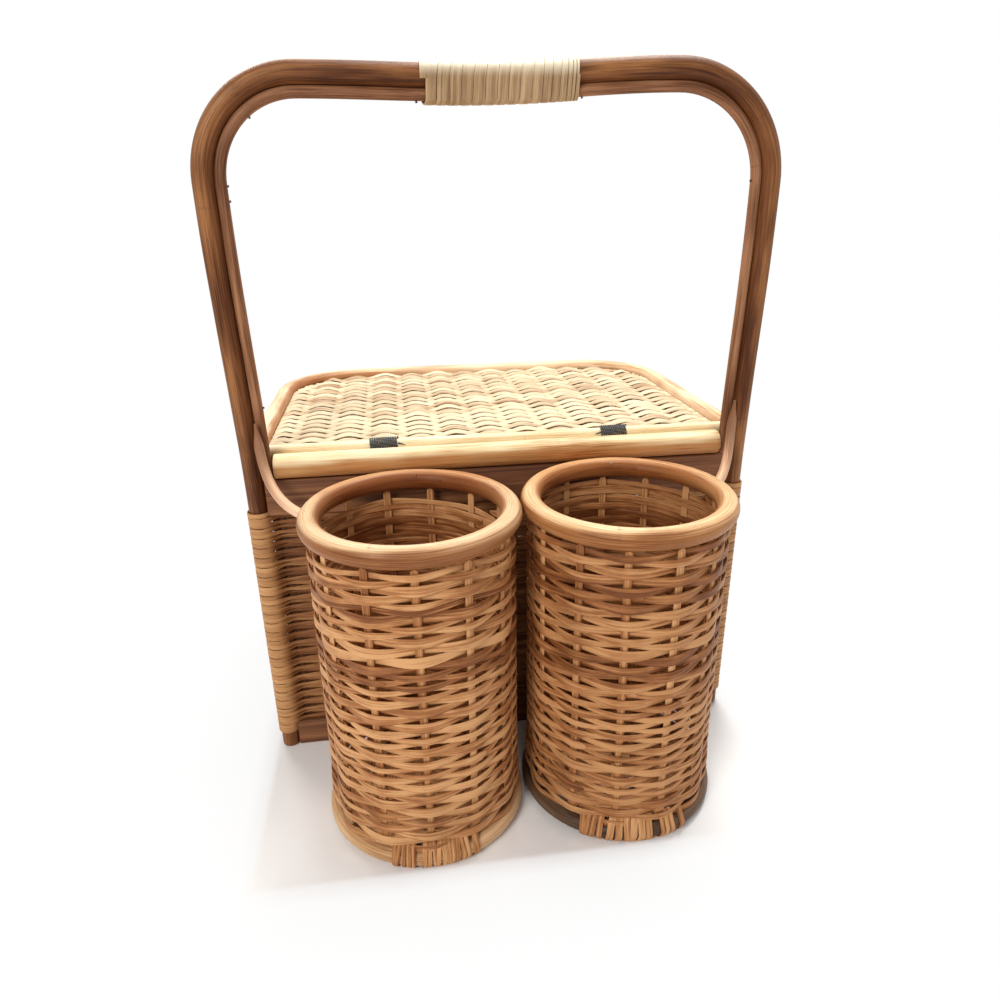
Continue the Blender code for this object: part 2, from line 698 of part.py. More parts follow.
def brace_points(side):
    """Middle line of a brace: down the groove of the leg, then one bend forwards to the rim."""
    inwards, forwards = groove_place()

    def on_leg(height):
        return Vector((side * (leg_spread(height) - inwards), LEG_Y - forwards, height))

    start = on_leg(BRACE_LEAVE)
    drop = (on_leg(BRACE_LEAVE) - on_leg(BRACE_TOP)).normalized() * BRACE_DROP
    reach = RIM_OUTER_RADIUS + 2 * FIT
    centre = Vector((side * HOLDER_SPREAD, HOLDER_Y, BRACE_MEET))
    end = centre + Vector((side * math.cos(BRACE_MEET_ANGLE), math.sin(BRACE_MEET_ANGLE), 0)) * reach
    arrival = BRACE_MEET_ANGLE + BRACE_ARRIVAL_TURN
    pull = Vector((side * math.cos(arrival), math.sin(arrival), 0)) * BRACE_REACH
    points = [on_leg(BRACE_TOP), on_leg((BRACE_TOP + BRACE_LEAVE) / 2)]
    for index in range(BRACE_STEPS + 1):
        share = index / BRACE_STEPS
        rest = 1 - share
        points.append(
            start * rest ** 3 + (start + drop) * (3 * rest ** 2 * share)
            + (end + pull) * (3 * rest * share ** 2) + end * share ** 3
        )
    return points


def build_handle():
    """Pole, inner rod, grip wrap, nails, brace rods and the weave's turns round the legs."""
    facing = Vector((0, 1, 0))
    pole = sweep("handle_pole", handle_path(0, 0), circle(LEG_RADIUS, ROD_SIDES), facing, "cane_amber")
    rod_path = handle_path(POST_WEAVE_TOP + FIT, ROD_SPACING)
    rod = sweep("handle_inner_rod", rod_path, circle(INNER_ROD_RADIUS, THIN_SIDES), facing, "cane_pink")
    drills = []
    for number, (point, inwards) in enumerate(handle_nail_places(), start=1):
        line = handle_nail_line(point, inwards)
        nail(f"handle_nail_{number}", *line)
        drills.append(nail_hole(f"handle_nail_drill_{number}", *line))
    drill_through(pole, drills)
    drill_through(rod, drills)
    grip_wrap()
    for side, label in ((-1, "left"), (1, "right")):
        points = brace_points(side)
        sweep(f"brace_rod_{label}", points, circle(BRACE_RADIUS, THIN_SIDES), facing, "cane_pink")
        profile = [
            (POST_WEAVE_INNER_RADIUS, POST_WEAVE_BOTTOM), (POST_WEAVE_OUTER_RADIUS, POST_WEAVE_BOTTOM),
            (POST_WEAVE_OUTER_RADIUS, POST_WEAVE_TOP), (POST_WEAVE_INNER_RADIUS, POST_WEAVE_TOP),
        ]
        place = Matrix.Translation(Vector((side * LEG_FOOT_SPREAD, LEG_Y, 0)))
        turned(f"post_weave_{label}", profile, TUBE_SEGMENTS, place, "weave_tan")


# Box

def build_front(drills):
    """Front rail, the two front slats and the woven panel between them."""
    half_rail = leg_spread(RAIL_HEIGHT - RAIL_RADIUS) - ROD_SPACING - INNER_ROD_RADIUS - FIT
    straight_rod(
        "front_rail", Vector((-half_rail, LEG_Y, RAIL_HEIGHT)), Vector((half_rail, LEG_Y, RAIL_HEIGHT)),
        RAIL_RADIUS, ROD_SIDES, Vector((0, 0, 1)), "cane_pale",
    )
    top_slat = block(
        "front_top_slat", (-BETWEEN_INNER_RODS, SLAT_FRONT_Y, TOP_SLAT_BOTTOM),
        (BETWEEN_INNER_RODS, SLAT_BACK_Y, TOP_SLAT_TOP), "slat_brown",
    )
    drill_through(top_slat, drills)
    block(
        "front_bottom_slat", (-BETWEEN_POST_WEAVES, SLAT_FRONT_Y, 0),
        (BETWEEN_POST_WEAVES, SLAT_BACK_Y, BOTTOM_SLAT_HEIGHT), "slat_brown",
    )
    half_panel = PANEL_THICKNESS / 2
    block(
        "front_woven_panel", (-BETWEEN_POST_WEAVES, LEG_Y - half_panel, PANEL_BOTTOM),
        (BETWEEN_POST_WEAVES, LEG_Y + half_panel, PANEL_TOP), "weave_tan",
    )


def level_band(name, thickness, bottom, top, material):
    """Upright band round the sides and the back of the box."""
    section = oblong(thickness, top - bottom)
    return hoop(name, BEHIND_POST_WEAVE_Y, (bottom + top) / 2, section, material)


def floor_outline():
    """Plan of the floor board: round at the back, notched in front for the two legs."""
    inset = SLAT_THICKNESS / 2 + FIT
    plan = hoop_outline(LEG_FOOT_SPREAD, BEHIND_POST_WEAVE_Y, inset)
    front = SLAT_BACK_Y + FIT
    right = [(BETWEEN_POST_WEAVES, BEHIND_POST_WEAVE_Y), (BETWEEN_POST_WEAVES, front)]
    left = [(-BETWEEN_POST_WEAVES, front), (-BETWEEN_POST_WEAVES, BEHIND_POST_WEAVE_Y)]
    return plan + right + left


def build_box():
    """Hoop, bands, woven wall, floor board, back posts and the inner front rail."""
    hoop(
        "box_top_hoop", LEG_Y + LEG_RADIUS + FIT, HOOP_HEIGHT, circle(HOOP_RADIUS, ROD_SIDES), "cane_peach",
    )
    level_band("box_top_band", SLAT_THICKNESS, TOP_SLAT_BOTTOM, TOP_BAND_TOP, "slat_brown")
    level_band("box_bottom_band", SLAT_THICKNESS, 0, BOTTOM_SLAT_HEIGHT, "slat_brown")
    level_band("box_woven_wall", PANEL_THICKNESS, PANEL_BOTTOM, PANEL_TOP, "weave_tan")
    slab("box_floor", floor_outline(), FLOOR_TOP - FLOOR_THICKNESS, FLOOR_TOP, "board")
    half_rail = LEG_FOOT_SPREAD - HOOP_RADIUS - FIT
    straight_rod(
        "inner_front_rail", Vector((-half_rail, HINGE_Y, HINGE_ROD_HEIGHT)),
        Vector((half_rail, HINGE_Y, HINGE_ROD_HEIGHT)), LID_RAIL_RADIUS, ROD_SIDES, Vector((0, 0, 1)),
        "cane_peach",
    )
    reach = CORNER_RADIUS - SLAT_THICKNESS / 2 - FIT - BACK_POST_RADIUS
    diagonal = reach * math.cos(math.pi / 4)
    for side, label in ((-1, "left"), (1, "right")):
        x = side * (LEG_FOOT_SPREAD - CORNER_RADIUS + diagonal)
        y = BACK_Y - CORNER_RADIUS + diagonal
        straight_rod(
            f"back_post_{label}", Vector((x, y, FLOOR_TOP + FIT)), Vector((x, y, TOP_BAND_TOP)),
            BACK_POST_RADIUS, THIN_SIDES, Vector((1, 0, 0)), "cane_peach",
        )


# Lid

def lid_weave_edges():
    """Front and back edge of the lid's weave: notched for the two lashings, round at the back."""
    back = hoop_outline(LEG_FOOT_SPREAD, BEHIND_LID_RAIL_Y, LID_ROD_RADIUS + FIT)
    half_notch = LASHING_TURNS * LASHING_PITCH / 2 + LASHING_CORD_RADIUS + FIT
    front = [back[0]]
    for middle in (-HINGE_SPREAD, HINGE_SPREAD):
        front += [
            (middle - half_notch - LID_NOTCH_FLARE, BEHIND_LID_RAIL_Y), (middle - half_notch, BEHIND_LASHING_Y),
            (middle + half_notch, BEHIND_LASHING_Y), (middle + half_notch + LID_NOTCH_FLARE, BEHIND_LID_RAIL_Y),
        ]
    return front + [back[-1]], back[1:-1]


def edge_place(edge, x):
    """Depth of an edge at one place across, on the straight lines between its points."""
    for (start_x, start_y), (end_x, end_y) in zip(edge, edge[1:]):
        if x <= end_x + WELD_DISTANCE:
            return start_y + (end_y - start_y) * (x - start_x) / (end_x - start_x)
    return edge[-1][1]


def lid_weave():
    """The lid's weave in low ridges from front to back: thick over each stake, thin between two."""
    front, back = lid_weave_edges()
    half_width = back[-1][0]
    across = [x for x, y in front + back]
    ridge = LID_STAKE_OFFSET - LID_STAKE_SPACING * math.ceil(half_width / LID_STAKE_SPACING)
    while ridge < half_width:
        across += [x for x in (ridge, ridge + LID_STAKE_SPACING / 2) if abs(x) < half_width]
        ridge += LID_STAKE_SPACING
    stations = []
    for x in sorted(across):
        if not stations or x - stations[-1] > WELD_DISTANCE:
            stations.append(x)
    vertices = []
    for x in stations:
        stake_share = abs((x - LID_STAKE_OFFSET) / LID_STAKE_SPACING % 1 - 0.5) * 2
        half = (LID_WEAVE_AT_STAKE * stake_share + LID_WEAVE_BETWEEN * (1 - stake_share)) / 2
        front_y = edge_place(front, x)
        back_y = edge_place(back, x)
        for y, z in ((front_y, -half), (back_y, -half), (back_y, half), (front_y, half)):
            vertices.append((x, y, LID_HEIGHT + z))
    return solid("lid_weave", vertices, strip_faces(len(stations), 4, False), "weave_cream")


def hinge_lashing(name, middle):
    """Cord wound round the lid's front rail and the inner front rail below it."""
    def place(run, u, v):
        return Vector((middle + run, HINGE_Y + u, LID_HEIGHT + v))

    reach = LASHING_REACH
    turn = belt(reach, reach, HINGE_ROD_SPACING, LASHING_STEPS)
    return wound_cord(name, turn, LASHING_TURNS, LASHING_PITCH, LASHING_CORD_RADIUS, place, "cord_black")


def build_lid():
    """Bent frame, front rail and weave of the lid, hung on an empty at the hinge axis."""
    axis = bpy.data.objects.new("lid_axis", None)
    axis.location = (0, HINGE_Y, LID_HEIGHT)
    bpy.context.scene.collection.objects.link(axis)
    half_rail = LEG_FOOT_SPREAD + LID_ROD_RADIUS
    pieces = [
        hoop("lid_frame", BEHIND_LID_RAIL_Y, LID_HEIGHT, circle(LID_ROD_RADIUS, ROD_SIDES), "cane_pale"),
        straight_rod(
            "lid_front_rail", Vector((-half_rail, HINGE_Y, LID_HEIGHT)),
            Vector((half_rail, HINGE_Y, LID_HEIGHT)), LID_RAIL_RADIUS, ROD_SIDES, Vector((0, 0, 1)),
            "cane_pale",
        ),
        lid_weave(),
    ]
    for piece in pieces:
        piece.parent = axis
        piece.matrix_parent_inverse = Matrix.Translation(axis.location).inverted()
    hinge_lashing("hinge_lashing_left", -HINGE_SPREAD)
    hinge_lashing("hinge_lashing_right", HINGE_SPREAD)


clear_scene()
rim_drills = build_holders()
build_handle()
build_front(rim_drills)
build_box()
build_lid()
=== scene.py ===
# %% [markdown]
# # A cane basket for two bottles
#
# Two round woven holders stand in front of a woven box with a lid, and the box's two front
# posts run up and over the top as one bent handle. Everything is rattan: thick canes for
# the frame, flat slats between them, and thin flat reeds woven round upright stakes.
#
# The solids of the basket are already there, packed as a fixed model that says where every
# piece sits. This lesson dresses them. Each cane, reed and cord is worked out as a grid of
# points with numpy, one grid per piece, and gets a finish made of nodes.

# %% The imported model
import math

import bpy
import numpy as np
from mathutils import Matrix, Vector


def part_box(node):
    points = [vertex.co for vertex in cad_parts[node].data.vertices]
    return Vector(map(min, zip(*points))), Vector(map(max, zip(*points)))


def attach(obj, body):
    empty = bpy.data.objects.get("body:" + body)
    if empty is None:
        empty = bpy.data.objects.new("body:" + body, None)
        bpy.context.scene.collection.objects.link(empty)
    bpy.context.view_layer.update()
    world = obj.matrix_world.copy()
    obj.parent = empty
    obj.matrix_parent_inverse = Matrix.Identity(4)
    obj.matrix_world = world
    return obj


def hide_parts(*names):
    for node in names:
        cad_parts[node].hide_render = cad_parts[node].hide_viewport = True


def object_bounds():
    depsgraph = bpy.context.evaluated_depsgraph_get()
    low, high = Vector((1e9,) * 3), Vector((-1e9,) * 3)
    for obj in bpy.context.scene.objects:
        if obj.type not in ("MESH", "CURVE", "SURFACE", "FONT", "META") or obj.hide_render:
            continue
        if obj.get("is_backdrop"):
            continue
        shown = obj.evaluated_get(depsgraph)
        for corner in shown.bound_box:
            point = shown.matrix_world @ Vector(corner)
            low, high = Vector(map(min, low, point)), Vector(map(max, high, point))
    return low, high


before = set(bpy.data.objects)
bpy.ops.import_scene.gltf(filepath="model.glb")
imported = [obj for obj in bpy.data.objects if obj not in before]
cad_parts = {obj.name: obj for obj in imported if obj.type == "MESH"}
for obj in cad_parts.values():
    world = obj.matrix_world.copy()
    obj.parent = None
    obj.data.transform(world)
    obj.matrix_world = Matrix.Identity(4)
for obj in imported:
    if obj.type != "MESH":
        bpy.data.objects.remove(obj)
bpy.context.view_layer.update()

mm = 0.001

# %% [markdown]
# ## The camera
#
# The basket is seen from the front, a little from its left and from above, by a wide lens
# held close. Three turns place such a camera: yaw about the upright, pitch downwards and a
# slight roll. The columns of its matrix are the picture's right, its up, and straight back.

# %% The camera
def placed(name, data):
    """Makes an object of a mesh, a lens or a lamp and puts it into the scene."""
    item = bpy.data.objects.new(name, data)
    bpy.context.scene.collection.objects.link(item)
    return item


def placement(*columns):
    """Matrix with the columns right, up, back and place."""
    matrix = np.eye(4)
    matrix[:3] = np.stack(columns, -1)
    return Matrix(matrix.tolist())


def camera_placement(place, yaw, pitch, roll):
    """Looks along (sin yaw cos pitch, cos yaw cos pitch, -sin pitch), turned by roll about it."""
    flat = math.cos(pitch)
    ahead = np.array([math.sin(yaw) * flat, math.cos(yaw) * flat, -math.sin(pitch)])
    level = np.array([math.cos(yaw), -math.sin(yaw), 0])
    steep = np.cross(ahead, level)
    right = math.cos(roll) * level + math.sin(roll) * steep
    down = math.cos(roll) * steep - math.sin(roll) * level
    return placement(right, -down, -ahead, place)


lens = bpy.data.cameras.new("camera")
lens.sensor_width = 36
lens.lens = 26.69
lens.clip_start = 0.01
camera = placed("camera", lens)
camera.matrix_world = camera_placement(
    np.array([-68.7, -530.8, 377.8]) * mm, *np.radians([7.86, 21.78, 0.81])
)
bpy.context.scene.camera = camera
print("camera at, mm:", [round(value / mm, 1) for value in camera.location])

# %% [markdown]
# ## Surfaces from two numbers
#
# Cane, reed and cord are all one thing: a section carried along a path. A point of such a
# surface needs two numbers, the row along the path and the column round the section, so the
# whole surface is one array of shape rows, columns, 3. The path's direction comes from its
# own points, and a given outward direction settles how the section is turned.
#
# Hands are never quite even, so most paths get a little sway: a few sine waves of unrelated
# lengths, which wander without repeating.

# %% Paths and sections
def unit(vectors):
    """Each vector divided by its own length."""
    return vectors / np.linalg.norm(vectors, axis=-1, keepdims=True)


def ease(share):
    """Smooth step: 3 s^2 - 2 s^3, with s held between 0 and 1."""
    share = np.clip(share, 0, 1)
    return share * share * (3 - 2 * share)


def sway(run, length, seed):
    """Sum of three sines of run / length, run / 0.58 length and run / 0.34 length, within -1 and 1."""
    first, second, third = np.random.default_rng(seed).uniform(0, 2 * math.pi, 3)
    waves = np.sin(run / length + first) + 0.6 * np.sin(run / length * 1.73 + second)
    return (waves + 0.4 * np.sin(run / length * 2.91 + third)) / 2


def full_turn(count, start=0.0):
    """Angles evenly spread over one turn, the last short of the first."""
    return start + np.linspace(0, 2 * math.pi, count, endpoint=False)


def around(angle, radius, height=0.0):
    """Points (radius cos angle, radius sin angle, height)."""
    return np.stack(np.broadcast_arrays(radius * np.cos(angle), radius * np.sin(angle), height), -1)


def round_section(radius, sides, seam=-math.pi / 2):
    """Points radius (cos t, sin t), t running once round from the seam."""
    return around(full_turn(sides, seam), radius)[:, :2]


REED = np.array([
    (0.44, -0.5), (0.5, -0.3), (0.5, 0.12), (0.36, 0.42), (0, 0.5),
    (-0.36, 0.42), (-0.5, 0.12), (-0.5, -0.3), (-0.44, -0.5),
])


def carry(path, section, outward, closed=False):
    """Point (i, j) = path i + across j * side i + raised j * lift i.

    Along is the path's direction, side = along x outward, and lift = side x along.
    """
    if closed:
        along = np.roll(path, -1, -2) - np.roll(path, 1, -2)
    else:
        along = np.gradient(path, axis=-2)
    along = unit(along)
    side = unit(np.cross(along, outward))
    lift = np.cross(side, along)
    across, raised = section[..., :1], section[..., 1:]
    return path[..., None, :] + across * side[..., None, :] + raised * lift[..., None, :]


def flat_reed(path, wide, thick, outward, profile=REED, closed=False):
    """The profile, one unit across and one high, stretched to width and thickness and carried."""
    size = np.stack(np.broadcast_arrays(wide, thick), -1)
    return carry(path, profile * size[..., None, :], outward, closed)


def length_along(path):
    """Distance from the path's start to each of its points."""
    steps = np.linalg.norm(np.diff(path, axis=-2), axis=-1)
    return np.concatenate((np.zeros(steps.shape[:-1] + (1,)), np.cumsum(steps, axis=-1)), axis=-1)


def spaced(path, spacing, trim=0.9 * mm):
    """The same path with points spacing apart, and three close ones at each end for its cut edge."""
    run = length_along(path)
    count = max(int((run[-1] - 2 * trim) / spacing), 1) + 1
    edge = np.array([0, 0.33, 1]) * trim
    inner = np.linspace(trim, run[-1] - trim, count)
    stations = np.concatenate((edge[:2], inner, run[-1] - edge[1::-1]))
    points = np.stack([np.interp(stations, run, path[:, axis]) for axis in range(3)], -1)
    narrow = np.interp(np.minimum(stations, run[-1] - stations), edge, [0.84, 0.95, 1])
    return points, stations, narrow


print("reed section of", len(REED), "corners")

# %% [markdown]
# ## From grids to a piece
#
# A piece is one mesh made of one grid or of many, such as all the reeds of a wall. Each
# grid's skin closes round its columns, and an open one gets a fan over each end.
#
# Every point also keeps its grain: how far along the cane it lies and how far round, in
# metres, as the piece's UV map. The finishes read it, so fibres follow every bend.

# %% Building one piece
def skin(grid, closed, start):
    """Corners, four-sided faces, end fans and grain of one grid, whose run starts at start metres."""
    rows, columns = grid.shape[:2]
    row = np.arange(rows if closed else rows - 1)[:, None]
    column = np.arange(columns)[None, :]
    after, ahead = (column + 1) % columns, (row + 1) % rows
    here, next_row = row * columns, ahead * columns
    corners = np.broadcast_arrays(here + column, next_row + column, next_row + after, here + after)
    quads = np.stack(corners, -1).reshape(-1, 4)
    middle = grid.mean(1)
    run = start + length_along(np.concatenate((middle, middle[:1])))
    widest = grid[rows // 2]
    girth = length_along(np.concatenate((widest, widest[:1])))
    runs = np.stack((run[row], run[row + 1], run[row + 1], run[row]), -1)
    rounds = np.stack((girth[column], girth[column], girth[column + 1], girth[column + 1]), -1)
    grain = np.stack(np.broadcast_arrays(runs, rounds), -1).reshape(-1, 2)
    points = grid.reshape(-1, 3)
    if closed:
        return points, quads, np.zeros((0, 3), int), grain
    ring, after = column[0], after[0]
    last = (rows - 1) * columns
    middle_of = np.full(columns, len(points))
    fans = np.concatenate((
        np.stack((middle_of, ring, after), -1), np.stack((middle_of + 1, last + after, last + ring), -1),
    ))
    points = np.concatenate((points, grid[:1].mean(1), grid[-1:].mean(1)))
    ends = np.repeat(np.array([run[0], run[rows - 1]]), 3 * columns)
    fan_rounds = np.stack((np.full(columns, girth[-1] / 2), girth[:-1], girth[1:]), -1).reshape(-1)
    return points, quads, fans, np.concatenate((grain, np.stack((ends, np.tile(fan_rounds, 2)), -1)))


def build(name, grids, closed):
    """One mesh from several grids, with smooth faces and crisp edges."""
    points, quads, fans, grain, tips = [], [], [], [], []
    count = 0
    for number, grid in enumerate(grids):
        corners, sides, ends, marks = skin(grid, closed, 0.37 * number)
        points.append(corners)
        quads.append(sides + count)
        fans.append(ends + count)
        grain.append(marks[:sides.size])
        tips.append(marks[sides.size:])
        count += len(corners)
    points, quads, fans = (np.concatenate(part) for part in (points, quads, fans))
    grain = np.concatenate(grain + tips)
    mesh = bpy.data.meshes.new(name)
    mesh.vertices.add(len(points))
    mesh.vertices.foreach_set("co", points.astype(np.float32).ravel())
    mesh.loops.add(quads.size + fans.size)
    corners = np.concatenate((quads.ravel(), fans.ravel()))
    mesh.loops.foreach_set("vertex_index", corners.astype(np.int32))
    mesh.polygons.add(len(quads) + len(fans))
    starts = np.concatenate((np.arange(len(quads)) * 4, quads.size + np.arange(len(fans)) * 3))
    mesh.polygons.foreach_set("loop_start", starts.astype(np.int32))
    mesh.update(calc_edges=True)
    mesh.uv_layers.new(name="grain").data.foreach_set("uv", grain.astype(np.float32).ravel())
    mesh.shade_smooth()
    mesh.set_sharp_from_angle(angle=math.radians(38))
    return mesh


def piece(name, grids, finish, nodes=(), body="box", closed=False):
    """Makes the object, rides it on its body and lets it stand for the solids that it replaces."""
    mesh = build(name, grids, closed)
    mesh.materials.append(finish)
    item = placed(name, mesh)
    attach(item, body)
    if nodes:
        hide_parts(*nodes)
    print(f"{name}: {len(grids)} strands, {len(mesh.polygons)} faces")


# %% [markdown]
# ## Finishes as expressions
#
# A finish is a tree of nodes, but its maths reads better as Python. The class below wraps
# one socket, and its operators add Math nodes, so 1 - streak * 0.4 is a small piece of the
# tree. Every other node comes from one method, which takes the node's type, its settings
# and the values or links of its sockets.

# %% Sockets with operators
class Wire:
    """One output in a tree of nodes, which +, -, * and / extend with Math nodes."""

    def __init__(self, tree, socket):
        self.tree = tree
        self.socket = socket

    def math(self, operation, *values):
        return self.tree.node("ShaderNodeMath", {"operation": operation}, dict(enumerate(values)))

    def beside(self, output):
        """Another output of the same node."""
        return Wire(self.tree, self.socket.node.outputs[output])

    def __add__(self, other):
        return self.math("ADD", self, other)

    def __sub__(self, other):
        return self.math("SUBTRACT", self, other)

    def __rsub__(self, other):
        return self.math("SUBTRACT", other, self)

    def __mul__(self, other):
        return self.math("MULTIPLY", self, other)

    def __truediv__(self, other):
        return self.math("DIVIDE", self, other)

    __radd__ = __add__
    __rmul__ = __mul__


class Tree:
    """The nodes of one material or of the surroundings."""

    def __init__(self, tree):
        self.nodes = tree.nodes
        self.links = tree.links

    def node(self, kind, settings, values, output=0):
        """Adds a node of that kind, sets its settings, then its sockets, and wraps one output."""
        made = self.nodes.new(kind)
        for key, value in settings.items():
            if key == "stops":
                self.set_stops(made.color_ramp, value)
            else:
                setattr(made, key, value)
        for socket, value in values.items():
            if isinstance(value, Wire):
                self.links.new(value.socket, made.inputs[socket])
            else:
                made.inputs[socket].default_value = value
        return Wire(self, made.outputs[output])

    def set_stops(self, ramp, stops):
        while len(ramp.elements) < len(stops):
            ramp.elements.new(1)
        for element, (place, colour) in zip(ramp.elements, stops):
            element.position = place
            element.color = (*colour, 1)

    def ramp(self, value, stops):
        return self.node("ShaderNodeValToRGB", {"stops": stops}, {0: value})

    def place(self):
        """Where a point lies in the basket's own space."""
        return self.node("ShaderNodeTexCoord", {}, {}, "Object")


class Finish(Tree):
    """A material in the making: its nodes, its shader and the grain of the piece it lies on."""

    def __init__(self, name, **constants):
        self.material = bpy.data.materials.new(name)
        self.material.use_nodes = True
        super().__init__(self.material.node_tree)
        self.shader = self.nodes["Principled BSDF"]
        for socket, value in constants.items():
            self.shader.inputs[socket.replace("_", " ")].default_value = value
        grain = self.node("ShaderNodeUVMap", {"uv_map": "grain"}, {})
        self.run = self.node("ShaderNodeSeparateXYZ", {}, {0: grain})
        self.girth = self.run.beside(1)

    def axis(self, number):
        """Distance along the axis of that number: 0 to the right, 1 back, 2 up."""
        return self.node("ShaderNodeSeparateXYZ", {}, {0: self.place()}, number)

    def noise(self, along, across, detail=2, rough=0.5, shift=0):
        """Cloudy pattern with so many waves per metre along the grain and round it."""
        waves = {0: self.run * along, 1: self.girth * across, 2: shift}
        place = self.node("ShaderNodeCombineXYZ", {}, waves)
        values = {"Vector": place, "Scale": 1, "Detail": detail, "Roughness": rough}
        return self.node("ShaderNodeTexNoise", {"noise_dimensions": "3D"}, values)

    def clouds(self, scale, detail=2, shift=(0, 0, 0)):
        """Cloudy pattern in the basket's own space, so it runs across neighbouring pieces."""
        moved = self.node("ShaderNodeMapping", {}, {"Vector": self.place(), "Location": shift})
        return self.node("ShaderNodeTexNoise", {}, {"Vector": moved, "Scale": scale, "Detail": detail})

    def band(self, value, low, high, dark=0, light=1):
        """Stretches a value from low..high to dark..light, held at both ends."""
        values = {0: value, 1: low, 2: high, 3: dark, 4: light}
        return self.node("ShaderNodeMapRange", {"interpolation_type": "SMOOTHSTEP"}, values)

    def blend(self, share, one, other, kind="MIX"):
        """Colour one at share 0 and other at share 1, or the two combined in another way."""
        colours = [value if isinstance(value, Wire) else (*value, 1) for value in (one, other)]
        settings = {"data_type": "RGBA", "blend_type": kind}
        return self.node("ShaderNodeMix", settings, {0: share, 6: colours[0], 7: colours[1]}, 2)

    def wear(self, colour, roughness, height, distance, strength=0.5):
        """Joins what changes over the surface to the shader and gives the material."""
        values = {"Height": height, "Distance": distance, "Strength": strength}
        normal = self.node("ShaderNodeBump", {}, values)
        for socket, value in (("Base Color", colour), ("Roughness", roughness), ("Normal", normal)):
            self.links.new(value.socket, self.shader.inputs[socket])
        return self.material


print("finishes are written as expressions")

# %% [markdown]
# ## Bent cane
#
# The frame is peeled rattan, sanded and varnished. It shows fine fibres along its length,
# slow changes of tone, short dark pores, and every hand's length or so a faint scar where a
# leaf sheath once sat. Grime gathers in patches. All of that is noise stretched along the
# grain: few waves per metre along it, thousands per metre round it.
#
# A cane isn't one tone all over either. Painted shade darkens the side turned from the light,
# a brace darkens towards its start on the leg, a painted highlight makes the top of the handle
# pale, and painted shade darkens the rims at the back, where the box shades them. Each of
# these is a tint that comes in between two places.

# %% Cane finish
CANE_JOINT = 0.19


def cane_finish(
    name, pale, body, dark, roughness=0.42, fleck=0.5, painted_shade_girth=None, end=None, rear=None, painted_highlight=None,
):
    """Colour = ramp of fibres and slow tone, darkened by pores, by leaf scars and by grime.

    Four tints each come in between two places. Painted shade darkens the side turned from
    the light, on the girth, from low to high, or past both where low is the greater, and
    fading after a run that may follow. A darker tint comes in at the start of the run.
    Painted shade darkens the back, in depth, and a painted highlight pales the top, in
    height, on the part of the girth that its third number starts.
    """
    finish = Finish(name, Coat_Weight=0.04, Coat_Roughness=0.25, Specular_IOR_Level=0.16)
    fibre = finish.noise(30, 1500, 3, 0.6)
    streak = finish.noise(14, 420, 2, 0.5, 3.1)
    tone = finish.noise(16, 55, 2, 0.5, 7.7)
    mixed = fibre * 0.38 + streak * 0.24 + tone * 0.38
    colour = finish.ramp(mixed, [(0.38, dark), (0.48, body), (0.6, pale)])
    pores = finish.band(finish.noise(120, 2600, 2, 0.5, 1.3), 0.64, 0.76) * fleck
    place = finish.run / CANE_JOINT + tone * 0.02
    saw = place.math("PINGPONG", place, 0.5)
    scar = finish.band(saw, 0.0, 0.008, 1, 0) * finish.band(streak, 0.3, 0.6)
    grime = finish.band(finish.clouds(26, 4), 0.56, 0.74) * finish.band(fibre, 0.35, 0.6)
    # Painted shade: the side of the cane turned from the light is tinted darker.
    if painted_shade_girth:
        low, high, tint, *reach = painted_shade_girth
        wander = finish.girth + (tone - 0.5) * (8 * mm) + (streak - 0.5) * (5 * mm)
        above_low = finish.band(wander, low - 2 * mm, low + 2 * mm)
        below_high = finish.band(wander, high - 3 * mm, high + 3 * mm, 1, 0)
        shade_share = above_low * below_high if low < high else above_low + below_high
        if reach:
            shade_share = shade_share * finish.band(finish.run, reach[0], reach[0] + 80 * mm, 1, 0.25)
        colour = finish.blend(shade_share, colour, tint, "MULTIPLY")
    # A darker tint towards the start of the run, on the braces towards the leg.
    if end:
        low, high, tint = end
        near_start = finish.band(finish.run + (tone - 0.5) * (30 * mm), low, high, 1, 0)
        colour = finish.blend(near_start, colour, tint, "MULTIPLY")
    # Painted highlight: the top of the cane, where the light falls, turns pale.
    if painted_highlight:
        low, high, side, highlight_tone = painted_highlight
        highlight_share = finish.band(finish.girth + (streak - 0.5) * (6 * mm), side - 2.5 * mm, side + 2.5 * mm)
        colour = finish.blend(highlight_share * finish.band(finish.axis(2), low, high) * 0.85, colour, highlight_tone)
    # Painted shade towards the back.
    if rear:
        low, high, tint = rear
        shaded = finish.band(finish.axis(1) + (tone - 0.5) * (20 * mm), low, high)
        colour = finish.blend(shaded, colour, tint, "MULTIPLY")
    shade = finish.band(pores + scar * 0.35 + grime * 0.5, 0, 1)
    colour = finish.blend(shade * 0.75, colour, tuple(value * 0.42 for value in dark))
    rough = roughness + fibre * 0.16 + grime * 0.15 - tone * 0.06
    height = fibre * 0.45 + streak * 0.5 - pores * 0.5 - scar * 0.8
    return finish.wear(colour, rough, height, 0.28 * mm, 0.55)


